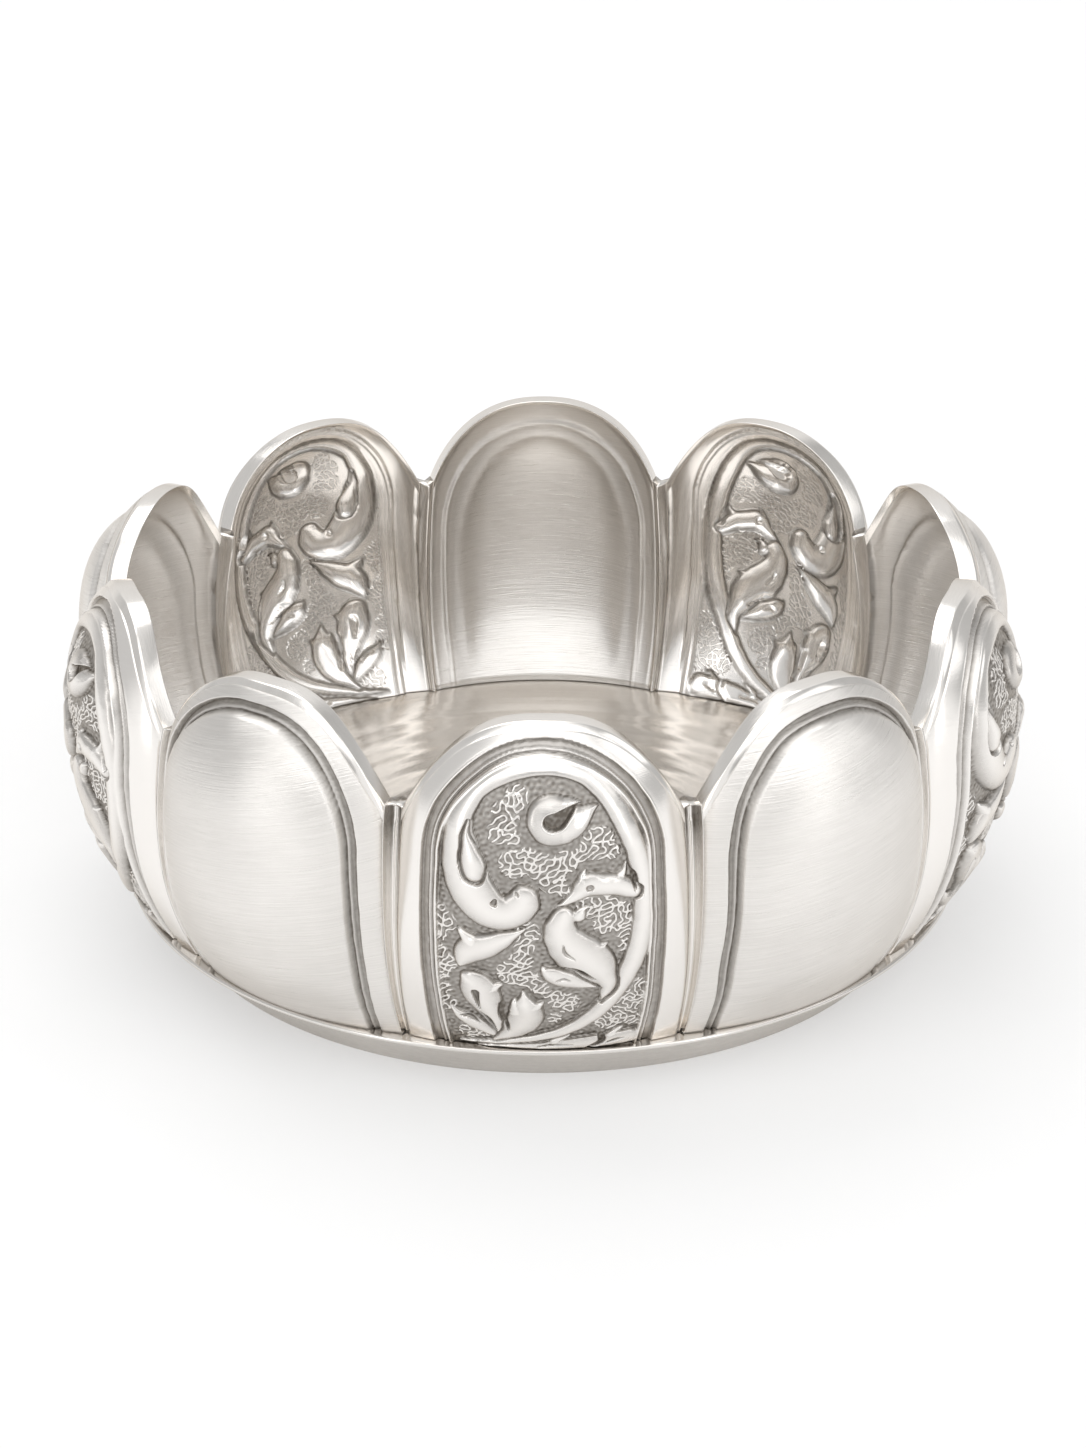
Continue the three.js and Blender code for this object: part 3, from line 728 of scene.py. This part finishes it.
class Surface:
    """Gathers grids of points and the faces between them."""

    def __init__(self):
        self.points = []
        self.facts = {}
        self.faces = []
        self.count = 0

    def add(self, points, **facts):
        index = np.arange(self.count, self.count + points[..., 0].size).reshape(points.shape[:-1])
        self.points.append(points.reshape(-1, 3))
        for name, value in facts.items():
            self.facts.setdefault(name, []).append(np.broadcast_to(value, index.shape).ravel())
        self.count += index.size
        return index

    def grid(self, index, flip=False):
        a = index[:-1, :-1]
        b = index[:-1, 1:]
        c = index[1:, 1:]
        d = index[1:, :-1]
        corners = [a, d, c, b] if flip else [a, b, c, d]
        self.faces.append(np.stack([q.ravel() for q in corners], axis=1))

    def strip(self, fine, coarse, flip=False):
        """Joins an edge to one that has every second of its points."""
        f0 = fine[:-2:2]
        f1 = fine[1:-1:2]
        f2 = fine[2::2]
        c0 = coarse[:-1]
        c1 = coarse[1:]
        for three in ([f0, f1, c0], [f1, f2, c1], [f1, c1, c0]):
            self.faces.append(np.stack(three[::-1] if flip else three, axis=1))

    def fan(self, ring, middle, flip=False):
        """Closes a ring of points, whose last is its first, towards a middle point."""
        three = [ring[:-1], ring[1:], np.full(len(ring) - 1, middle)]
        self.faces.append(np.stack(three[::-1] if flip else three, axis=1))

    def piece(self, name, material, slot):
        mesh = bpy.data.meshes.new(name)
        points = np.concatenate(self.points)
        mesh.vertices.add(len(points))
        mesh.vertices.foreach_set("co", points.astype(np.float32).ravel())
        sizes = np.concatenate([np.full(len(f), f.shape[1]) for f in self.faces])
        corners = np.concatenate([f.ravel() for f in self.faces])
        mesh.loops.add(len(corners))
        mesh.loops.foreach_set("vertex_index", corners.astype(np.int32))
        mesh.polygons.add(len(sizes))
        mesh.polygons.foreach_set("loop_start", (np.cumsum(sizes) - sizes).astype(np.int32))
        mesh.polygons.foreach_set("use_smooth", np.ones(len(sizes), bool))
        for fact, values in self.facts.items():
            layer = mesh.attributes.new(fact, "FLOAT", "POINT")
            layer.data.foreach_set("value", np.concatenate(values).astype(np.float32))
        mesh.update(calc_edges=True)
        mesh.validate()
        piece = bpy.data.objects.new(name, mesh)
        bpy.context.scene.collection.objects.link(piece)
        mesh.materials.append(material)
        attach(piece, "root")
        return piece


def material_nodes(name):
    material = bpy.data.materials.new(name)
    material.use_nodes = True
    nodes = material.node_tree.nodes
    return material, nodes, material.node_tree.links, nodes["Principled BSDF"]


def attribute(nodes, name):
    node = nodes.new("ShaderNodeAttribute")
    node.attribute_name = name
    return node.outputs["Fac"]


def math_node(nodes, links, operation, *values):
    node = nodes.new("ShaderNodeMath")
    node.operation = operation
    for socket, value in zip(node.inputs, values):
        if isinstance(value, (int, float)):
            socket.default_value = value
        else:
            links.new(value, socket)
    return node.outputs[0]


def noise(nodes, links, vector, scale, detail=3.0, rough=0.5):
    node = nodes.new("ShaderNodeTexNoise")
    node.inputs["Scale"].default_value = scale
    node.inputs["Detail"].default_value = detail
    node.inputs["Roughness"].default_value = rough
    links.new(vector, node.inputs["Vector"])
    return node.outputs["Fac"]


def mix_colour(nodes, links, factor, a, b):
    node = nodes.new("ShaderNodeMix")
    node.data_type = "RGBA"
    links.new(factor, node.inputs[0])
    for socket, value in ((node.inputs[6], a), (node.inputs[7], b)):
        if isinstance(value, tuple):
            socket.default_value = (*value, 1)
        else:
            links.new(value, socket)
    return node.outputs[2]


def bump(nodes, links, height, strength, depth, below=None):
    node = nodes.new("ShaderNodeBump")
    node.inputs["Strength"].default_value = strength
    node.inputs["Distance"].default_value = depth
    links.new(height, node.inputs["Height"])
    if below is not None:
        links.new(below, node.inputs["Normal"])
    return node.outputs["Normal"]


# Colours of the silver, and how it is streaked, clouded and worked. Depths of bumps are in metres
LIGHT_SILVER = (0.95, 0.921, 0.888)
SHADED_SILVER = (0.83, 0.802, 0.768)
WORN_SILVER = (0.9, 0.87, 0.836)
STREAKED_SILVER = (0.75, 0.725, 0.692)
GRAZING_SILVER = (0.8, 0.77, 0.73)
# Tarnish in the hollows; this colour also carries the painted shade on the flanks of forms, on the inner faces
# and on the bowl's floor
TARNISH_AND_PAINTED_SHADE = (0.17, 0.15, 0.128)
STREAK_DETAIL = 4.0
STREAK_FINENESS = 0.62
STREAK_SHARE = 0.55
STREAK_ROUGHNESS = 0.16
CLOUD_SCALE = 46.0
CLOUD_SHARE = 0.45
TONE_CONTRAST = 2.2
TONE_SHIFT = -0.6
SPECK_SCALE = 950.0
SPECK_DETAIL = 2.0
SPECK_CONTRAST = 0.5
SPECK_SHIFT = 0.72
DARKEST = 1.25
DARK_ROUGHNESS = 0.22
THREAD_EDGE = 0.21
THREAD_CORE = 0.13
THREAD_GLEAM = 0.9
BRUSH_DEPTH = 0.0001
GRAIN_STRENGTH = 0.25
GRAIN_DEPTH = 0.00012
THREAD_STRENGTH = 0.7
THREAD_DEPTH = 0.00015


def silver(name, light, shade, roughness, brushing, across=0.35, up=5.5, stretch=0.0):
    """Silver brushed along the piece and clouded, dark with patina in hollows and with painted shade, with
    threads where it is worked.
    """
    material, nodes, links, shader = material_nodes(name)

    def maths(operation, *values):
        return math_node(nodes, links, operation, *values)

    place = nodes.new("ShaderNodeCombineXYZ")
    links.new(maths("MULTIPLY", attribute(nodes, "Across"), across), place.inputs[0])
    links.new(maths("MULTIPLY", attribute(nodes, "Up"), up), place.inputs[1])
    streaks = noise(nodes, links, place.outputs[0], 1.0, STREAK_DETAIL, STREAK_FINENESS)
    position = nodes.new("ShaderNodeTexCoord").outputs["Object"]
    clouds = noise(nodes, links, position, CLOUD_SCALE)
    specks = noise(nodes, links, position, SPECK_SCALE, SPECK_DETAIL)
    tone = maths("ADD", maths("MULTIPLY", streaks, STREAK_SHARE), maths("MULTIPLY", clouds, CLOUD_SHARE))
    tone = maths("MULTIPLY_ADD", tone, TONE_CONTRAST, TONE_SHIFT)
    tone = maths("MINIMUM", maths("MAXIMUM", tone, 0.0), 1.0)
    metal = mix_colour(nodes, links, tone, shade, light)

    thread = nodes.new("ShaderNodeMapRange")
    thread.interpolation_type = "SMOOTHSTEP"
    links.new(maths("ABSOLUTE", attribute(nodes, "Level")), thread.inputs["Value"])
    thread.inputs["From Min"].default_value = THREAD_EDGE
    thread.inputs["From Max"].default_value = THREAD_CORE
    threads = maths("MULTIPLY", thread.outputs["Result"], attribute(nodes, "Worked"))

    speckled = maths("MULTIPLY_ADD", specks, SPECK_CONTRAST, SPECK_SHIFT)
    dark = maths("MINIMUM", maths("MULTIPLY", attribute(nodes, "Dark"), speckled), DARKEST)
    dark = maths("MULTIPLY", dark, maths("MULTIPLY_ADD", threads, -THREAD_GLEAM, 1.0))
    # The Dark attribute mixes in tarnish and painted shade
    links.new(mix_colour(nodes, links, dark, metal, TARNISH_AND_PAINTED_SHADE), shader.inputs["Base Color"])
    shader.inputs["Metallic"].default_value = 1.0
    shader.inputs["Anisotropic"].default_value = stretch
    shader.inputs["Specular Tint"].default_value = (*GRAZING_SILVER, 1)
    rough = maths("MULTIPLY_ADD", streaks, STREAK_ROUGHNESS, roughness - STREAK_ROUGHNESS / 2)
    rough = maths("MULTIPLY_ADD", dark, DARK_ROUGHNESS, rough)
    links.new(rough, shader.inputs["Roughness"])

    normal = bump(nodes, links, streaks, brushing, BRUSH_DEPTH)
    normal = bump(nodes, links, maths("MULTIPLY", specks, dark), GRAIN_STRENGTH, GRAIN_DEPTH, normal)
    normal = bump(nodes, links, threads, THREAD_STRENGTH, THREAD_DEPTH, normal)
    links.new(normal, shader.inputs["Normal"])
    links.new(position, shader.inputs["Tangent"])
    return material


polished = silver("polished_silver", LIGHT_SILVER, SHADED_SILVER, 0.16, 0.15)
brushed = silver("brushed_silver", LIGHT_SILVER, STREAKED_SILVER, 0.3, 0.9, across=0.1, up=4.0, stretch=0.85)
chased = silver("chased_silver", LIGHT_SILVER, WORN_SILVER, 0.2, 0.12)
floor_silver = silver("floor_silver", LIGHT_SILVER, SHADED_SILVER, 0.17, 0.5, across=0.04, up=1.1, stretch=0.3)


class Sheet:
    """What all panels of one kind share: stations, border insets, and the field's relief and darkness."""

    def __init__(self, chased, across, up):
        self.chased = chased
        self.border = CHASED_BORDER if chased else PLAIN_BORDER
        self.u, self.z = panel_grid(across, up, self.border)
        self.x = self.u * half_width(self.z)
        self.inset = ring_inset(self.u, self.z, self.border)
        if chased:
            self.field = ChasedField(self.x, self.z)
        else:
            self.inner_inset = ring_inset(self.u, self.z, INNER_LINE)


def shade(x, line):
    strength, place, width = line
    return strength * ridge(x, place, width)


def chased_faces(sheet, inset):
    """Relief outside, how far the inner face is pressed out, darkness of both, and where the curls run."""
    border = sheet.border
    field = sheet.field
    relief, dark, rounding = border_relief(inset, border)
    into = smoothstep(border.field_side + FIELD_BLEND_START, border.field_side + FIELD_BLEND_END, inset)
    past = inset - border.band_side
    inner_into = smoothstep(INNER_BLEND_START, border.groove_side + INNER_BLEND_END, past)
    line = INNER_LINE_HEIGHT * ridge(past, CHASED_LINE_PLACE, INNER_LINE_WIDTH)
    pressed = lerp(INNER_CHANNEL * rounding, field.pressed, inner_into) - line
    relief = lerp(relief, field.relief, into)
    dark = lerp(dark * CHASED_GROOVE_TONE, field.dark, into)
    worked = field.worked * into
    inner_dark = INNER_TONE * field.outline * into + INNER_WORKED_TONE * worked
    # Painted shade: a soft dark line just inside the field's edge on the inner face
    inner_dark = inner_dark + shade(inset - border.field_side, EDGE_SHADE)
    return relief, pressed, dark, inner_dark, worked


def plain_faces(sheet, inset, waver):
    """Relief outside, how far the inner face is pressed out, and the darkness of both."""
    relief, dark, _ = border_relief(inset, sheet.border)
    relief = relief + plain_field(inset)
    pressed = plain_inside(sheet.inner_inset + waver)
    past = sheet.inner_inset - INNER_LINE.field_side
    # Painted shade: soft dark bands round the inner dome and beside its fine line
    inner_dark = shade(past, DOME_SHADE) + shade(past, LINE_SHADE)
    return relief, pressed, dark * PLAIN_GROOVE_TONE, inner_dark


def panel(name, azimuth, sheet, material, slot, seed):
    u = sheet.u
    z = sheet.z
    x = sheet.x
    waver = HAND_WAVER * waves(x, z, HAND_WAVER_LENGTH, seed)
    waver = waver + FINE_WAVER * waves(x, z, FINE_WAVER_LENGTH, seed + 3)
    inset = sheet.inset + waver
    if sheet.chased:
        relief, pressed, dark, inner_dark, worked = chased_faces(sheet, inset)
        level = sheet.field.level
        slant = z
    else:
        relief, pressed, dark, inner_dark = plain_faces(sheet, inset, waver)
        worked = np.zeros(u.shape)
        level = worked
        slant = z - x * math.tan(BRUSH_TILT)
    relief = relief + DENT_HEIGHT * waves(x, z, DENT_LENGTH, seed + 6)
    # Painted shade: a soft dark band along the inner channel
    inner_dark = inner_dark + shade(inset, BAND_SHADE)
    surface = Surface()
    outer = surface.add(
        wall_point(azimuth, u, z, faded(relief, z)),
        Dark=dark,
        Across=x,
        Up=slant,
        Worked=worked,
        Level=level,
    )
    every = (slice(None, None, 2), slice(None, None, 2))
    inner_proud = faded(pressed, z)[every] - wall_thickness(z[every])
    inner = surface.add(
        wall_point(azimuth, u[every], z[every], inner_proud),
        Dark=inner_dark[every],
        Across=x[every],
        Up=z[every] + LIP_Z,
        Worked=worked[every],
        Level=level[every],
    )
    surface.grid(outer)
    surface.grid(inner, flip=True)
    surface.strip(outer[0], inner[0], flip=True)
    surface.strip(outer[-1], inner[-1])
    surface.strip(outer[:, 0], inner[:, 0])
    surface.strip(outer[:, -1], inner[:, -1], flip=True)
    piece = surface.piece(name + "_sheet", material, slot)
    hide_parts(name)


def loop_skin(surface, rows, **facts):
    """Skins closed rows of points, and closes both ends with a fan."""
    index = surface.add(rows, **facts)
    closed = np.concatenate([index, index[:, :1]], axis=1)
    surface.grid(closed)
    for end, flip in ((0, True), (-1, False)):
        middle_facts = {}
        for fact, values in facts.items():
            middle_facts[fact] = np.broadcast_to(values, index.shape)[end].mean()
        middle = surface.add(rows[end].mean(axis=0)[None, None], **middle_facts)
        surface.fan(closed[end], middle[0, 0], flip)


def rounded_square(bevel):
    """A unit square with rounded corners, counterclockwise from its outer foot."""
    turns = np.radians([0, 22.5, 45, 67.5, 90])
    corners = [(1, 0, -90), (1, 1, 0), (0, 1, 90), (0, 0, 180)]
    points = []
    for across, up, start in corners:
        centre_x = bevel if across == 0 else 1 - bevel
        centre_y = bevel if up == 0 else 1 - bevel
        for turn in turns + math.radians(start):
            points.append((centre_x + bevel * math.cos(turn), centre_y + bevel * math.sin(turn)))
    return np.array(points)


def rim_wire(name, azimuth):
    top = corner_height(0)
    foot = corner_height(RIM_HEIGHT)
    section = rounded_square(WIRE_BEVEL)
    across = section[:, 0]
    up = section[:, 1]
    rows = []
    for turn in np.linspace(0, math.pi, WIRE_STATIONS):
        high = -panel_edge(top) * math.cos(turn)
        low = -panel_edge(foot) * math.cos(turn)
        u = lerp(low, high, up)
        z = lerp(under_arch(low, RIM_HEIGHT), under_arch(high, 0), up)
        depth = (wall_thickness(z) + 2 * WIRE_PROUD) * (1 - across)
        rows.append(wall_point(azimuth, u, z, WIRE_PROUD - depth))
    surface = Surface()
    along = np.linspace(0, WIRE_LENGTH, WIRE_STATIONS)[:, None]
    loop_skin(surface, np.array(rows), Dark=0.0, Across=along, Up=across[None, :] * WALL_AT_LIP)
    piece = surface.piece(name + "_bar", polished, "polished_silver")
    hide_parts(name)


def seam_rib(name, azimuth):
    """A rib of two valleys beside a crest, which closes to a saddle at the notch."""
    top = corner_height(0)
    v = np.linspace(-1, 1, RIB_FRONT_STATIONS)
    back = np.linspace(1, -1, RIB_BACK_STATIONS)[1:-1]
    size = np.abs(v)
    crest = np.clip(1 - (size / CREST_SHARE) ** 2, 0, 1) ** CREST_POWER
    valley = 1 - np.clip((size - VALLEY_EDGE) / (1 - VALLEY_EDGE), 0, 1) ** VALLEY_POWER
    groove = -RIB_VALLEY * valley + (RIB_VALLEY - RIB_CREST) * crest
    hollow_tone = (valley * (1 - crest)) ** VALLEY_TONE_POWER
    cross_v = np.concatenate([v, [1.0], back, [-1.0]])
    lower = np.linspace(WALL_Z, top - RIB_TOP_LENGTH, RIB_STATIONS)
    upper = np.linspace(top - RIB_TOP_LENGTH, top, RIB_TOP_STATIONS)[1:]
    rows = []
    dark = []
    for z in np.concatenate([lower, upper]):
        edge = 1 - rib_edge(z)
        front = groove * (1 - float(smoothstep(top - RIB_CLOSING, top, z)))
        tone = lerp(RIB_TONE, RIB_TONE_AT_NOTCH, float(share(z)) ** RIB_TONE_RISE)
        sunk = -wall_thickness(z)
        inner = sunk - RIB_INNER_CROWN * (1 - back**2)
        proud = np.concatenate([front, [sunk], inner, [sunk]])
        angle = azimuth + cross_v * edge * HALF_LOBE - math.pi / 2
        radius = wall_radius(1 - np.abs(cross_v) * edge, z) + proud
        settle = RIB_SADDLE * float(smoothstep(top - SADDLE_LENGTH, top, z))
        height = z - settle * (1 - cross_v**2)
        rows.append(np.stack([radius * np.cos(angle), radius * np.sin(angle), height], axis=-1) * MM)
        dark.append(np.concatenate([hollow_tone * tone, np.zeros(len(back) + 2)]))
    rows = np.array(rows)
    surface = Surface()
    along = np.linspace(0, RIB_LENGTH, len(rows))[:, None]
    around = np.linspace(0, RIB_GIRTH, rows.shape[1])[None, :]
    loop_skin(surface, rows, Dark=np.array(dark), Across=along, Up=around)
    piece = surface.piece(name + "_bar", polished, "polished_silver")
    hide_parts(name)


def turned(name, profile, material, slot, dark):
    """A closed profile of radius and height, turned about the axis, darkened by one tone."""
    turn = np.linspace(0, 2 * math.pi, TURN_STATIONS, endpoint=False)
    profile = np.array(profile, float)
    rows = np.stack([
        np.outer(profile[:, 0], np.cos(turn)),
        np.outer(profile[:, 0], np.sin(turn)),
        np.outer(profile[:, 1], np.ones(TURN_STATIONS)),
    ], axis=-1) * MM
    surface = Surface()
    index = surface.add(
        rows,
        Dark=dark,
        Across=(turn * WALL_RADIUS)[None, :],
        Up=np.hypot(profile[:, 0], profile[:, 1])[:, None],
    )
    closed = np.concatenate([index, index[:, :1]], axis=1)
    surface.grid(closed)
    reaches_axis = profile[0, 0] < 1
    if reaches_axis:
        for end, flip in ((0, True), (-1, False)):
            centre = np.array([[[0, 0, profile[end, 1] * MM]]])
            middle = surface.add(centre, Dark=dark, Across=0.0, Up=0.0)
            surface.fan(closed[end], middle[0, 0], flip)
    else:
        surface.grid(np.stack([closed[-1], closed[0]]))
    piece = surface.piece(name + "_turned", material, slot)
    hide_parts(name)


def bowl_floor():
    """A dished plate whose upper face has fine rings from spinning."""
    reach = WALL_SETBACK + SCALLOP_AT_LEDGE + WALL_AT_LEDGE + RIB_INNER_CROWN
    seat = LEDGE_RADIUS - max(FOOT_SETBACK + FOOT_WALL, reach)
    under = LEDGE_Z - FLOOR_THICKNESS
    stations = np.linspace(FLOOR_CENTRE, 1, FLOOR_STATIONS)
    below = [(seat * part, under - FLOOR_DISH * (1 - part**2)) for part in stations]
    above = []
    for part in stations[::-1]:
        turns = seat * part * 2 * math.pi
        ripple = math.sin(turns / RIPPLE_LONG)
        ripple += SHORT_RIPPLE_SHARE * math.sin(SHORT_RIPPLE_SHIFT + turns / RIPPLE_SHORT)
        rise = RIPPLE_HEIGHT * ripple * (1 - part**RIPPLE_FADE)
        above.append((seat * part, LEDGE_Z - FLOOR_DISH * (1 - part**2) + rise))
    round_edge = FLOOR_THICKNESS / 2
    edge = [
        (LEDGE_RADIUS - round_edge + round_edge * math.cos(t), under + round_edge + round_edge * math.sin(t))
        for t in np.radians(np.linspace(-90, 90, 9))
    ]
    profile = [*below, *edge, *above]
    turned("bowl_floor", profile, floor_silver, "brushed_silver", FLOOR_PAINTED_SHADE)


def foot_ring():
    top = LEDGE_RADIUS - FOOT_SETBACK
    base = top - FOOT_TAPER
    profile = []
    for part in np.linspace(0, 1, FOOT_STATIONS):
        waist = FOOT_WAIST * math.sin(part * math.pi)
        profile.append((lerp(base, top, part) - waist, FOOT_TOP * part))
    profile += [
        (top - FOOT_WALL, FOOT_TOP),
        (base - FOOT_WALL, FOOT_BEVEL),
        (base - FOOT_WALL + FOOT_BEVEL, 0.0),
        (base - FOOT_BEVEL, 0.0),
    ]
    turned("foot_ring", profile, brushed, "brushed_silver", FOOT_TONE)


# Steps between stations across and up a field, in millimetres
CHASED_STEPS = ((0.17, 0.17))
PLAIN_STEPS = (1.1, 0.6)
FIRST_SEED = 11

chased_sheet = Sheet(True, *CHASED_STEPS)
plain_sheet = Sheet(False, *PLAIN_STEPS)
for lobe in range(LOBES):
    turn = 2 * lobe * HALF_LOBE
    number = lobe // 2 + 1
    seed = FIRST_SEED + lobe
    if lobe % 2 == 0:
        panel(f"chased_panel_{number}", turn, chased_sheet, chased, "chased_silver", seed)
    else:
        panel(f"plain_panel_{number}", turn, plain_sheet, brushed, "brushed_silver", seed)
    rim_wire(f"rim_wire_{lobe + 1}", turn)
    seam_rib(f"seam_rib_{lobe + 1}", turn + HALF_LOBE)
bowl_floor()
foot_ring()


# Floor, light and camera
STAGE_PALE = 0.62
STAGE_GLOW = 0.36
STAGE_ROUGHNESS = 0.9
STAGE_GLOSS = 0.1
STAGE_REACH = 3.0
CAMERA_PLACE = (0.0, -0.5235, 0.2751)
CAMERA_DOWN = 24.98
CAMERA_LENS = 84.97
FILM_WIDTH = 36.0


def stage_material():
    """A pale floor that keeps the bowl's shadow, lifted a little for the camera and for reflections."""
    material, nodes, links, shader = material_nodes("pale_floor")
    shader.inputs["Base Color"].default_value = (STAGE_PALE, STAGE_PALE, STAGE_PALE, 1)
    shader.inputs["Roughness"].default_value = STAGE_ROUGHNESS
    shader.inputs["Specular IOR Level"].default_value = STAGE_GLOSS
    path = nodes.new("ShaderNodeLightPath")
    mirrored = math_node(nodes, links, "ADD", path.outputs["Is Glossy Ray"], path.outputs["Is Transmission Ray"])
    seen = math_node(nodes, links, "ADD", path.outputs["Is Camera Ray"], mirrored)
    seen = math_node(nodes, links, "MINIMUM", seen, 1.0)
    shader.inputs["Emission Color"].default_value = (1, 1, 1, 1)
    links.new(math_node(nodes, links, "MULTIPLY", seen, STAGE_GLOW), shader.inputs["Emission Strength"])
    return material


def make_floor():
    mesh = bpy.data.meshes.new("floor")
    reach = STAGE_REACH
    corners = [(-reach, -reach, 0), (reach, -reach, 0), (reach, reach, 0), (-reach, reach, 0)]
    mesh.from_pydata(corners, [], [(0, 1, 2, 3)])
    floor = bpy.data.objects.new("floor", mesh)
    bpy.context.scene.collection.objects.link(floor)
    mesh.materials.append(stage_material())


# Soft bright and dark parts of the studio: azimuth from the camera's side, elevation, radius and softness
# in degrees, and how much light the part adds
STUDIO = [
    (0, 57, 18, 16, 0.65),
    (0, 24, 7, 10, -0.45),
    (-100, 32, 26, 24, -0.33),
    (100, 32, 26, 24, -0.42),
    (180, 34, 24, 26, -0.08),
]
SKY_STRENGTH = 0.94

# Soft lamps: name, place, the point that it faces, width and height in metres, and power in watts
LAMPS = [
    ("key", (-0.25, 0.4, 1.0), (0, 0, 0.03), (0.9, 0.7), 2.6),
    ("fill", (0.7, -0.2, 0.6), (0, 0, 0.03), (0.5, 0.5), 0.6),
    ("left strip", (-0.4, -0.47, 0.3), (0, 0, 0.3), (0.1, 0.6), 0.24),
    ("right strip", (0.4, -0.47, 0.3), (0, 0, 0.3), (0.1, 0.6), 0.24),
]


def make_world():
    """A pale studio with its soft bright and dark parts."""
    world = bpy.data.worlds.new("studio")
    world.use_nodes = True
    nodes = world.node_tree.nodes
    links = world.node_tree.links
    direction = nodes.new("ShaderNodeTexCoord").outputs["Generated"]
    light = SKY_STRENGTH
    for azimuth, elevation, radius, softness, added in STUDIO:
        side = math.radians(azimuth)
        up = math.radians(elevation)
        towards = nodes.new("ShaderNodeVectorMath")
        towards.operation = "DOT_PRODUCT"
        links.new(direction, towards.inputs[0])
        towards.inputs[1].default_value = (
            math.sin(side) * math.cos(up), -math.cos(side) * math.cos(up), math.sin(up)
        )
        fall = nodes.new("ShaderNodeMapRange")
        fall.interpolation_type = "SMOOTHSTEP"
        links.new(towards.outputs["Value"], fall.inputs["Value"])
        fall.inputs["From Min"].default_value = math.cos(math.radians(radius + softness))
        fall.inputs["From Max"].default_value = math.cos(math.radians(radius))
        light = math_node(nodes, links, "MULTIPLY_ADD", fall.outputs["Result"], added, light)
    background = nodes["Background"]
    background.inputs["Color"].default_value = (1, 1, 1, 1)
    links.new(light, background.inputs["Strength"])
    bpy.context.scene.world = world


def area_light(name, place, target, size, power):
    data = bpy.data.lights.new(name, "AREA")
    data.shape = "RECTANGLE"
    data.size = size[0]
    data.size_y = size[1]
    data.energy = power
    lamp = bpy.data.objects.new(name, data)
    bpy.context.scene.collection.objects.link(lamp)
    lamp.location = place
    aim = (np.array(target) - np.array(place)).tolist()
    lamp.rotation_mode = "QUATERNION"
    lamp.rotation_quaternion = Vector(aim).to_track_quat("-Z", "Y")


def make_camera():
    data = bpy.data.cameras.new("camera")
    data.lens = CAMERA_LENS
    data.sensor_width = FILM_WIDTH
    camera = bpy.data.objects.new("camera", data)
    bpy.context.scene.collection.objects.link(camera)
    camera.location = CAMERA_PLACE
    camera.rotation_euler = (math.radians(90 - CAMERA_DOWN), 0, 0)
    bpy.context.scene.camera = camera


make_floor()
make_world()
for lamp in LAMPS:
    area_light(*lamp)
make_camera()
bpy.context.scene.view_settings.view_transform = "Standard"
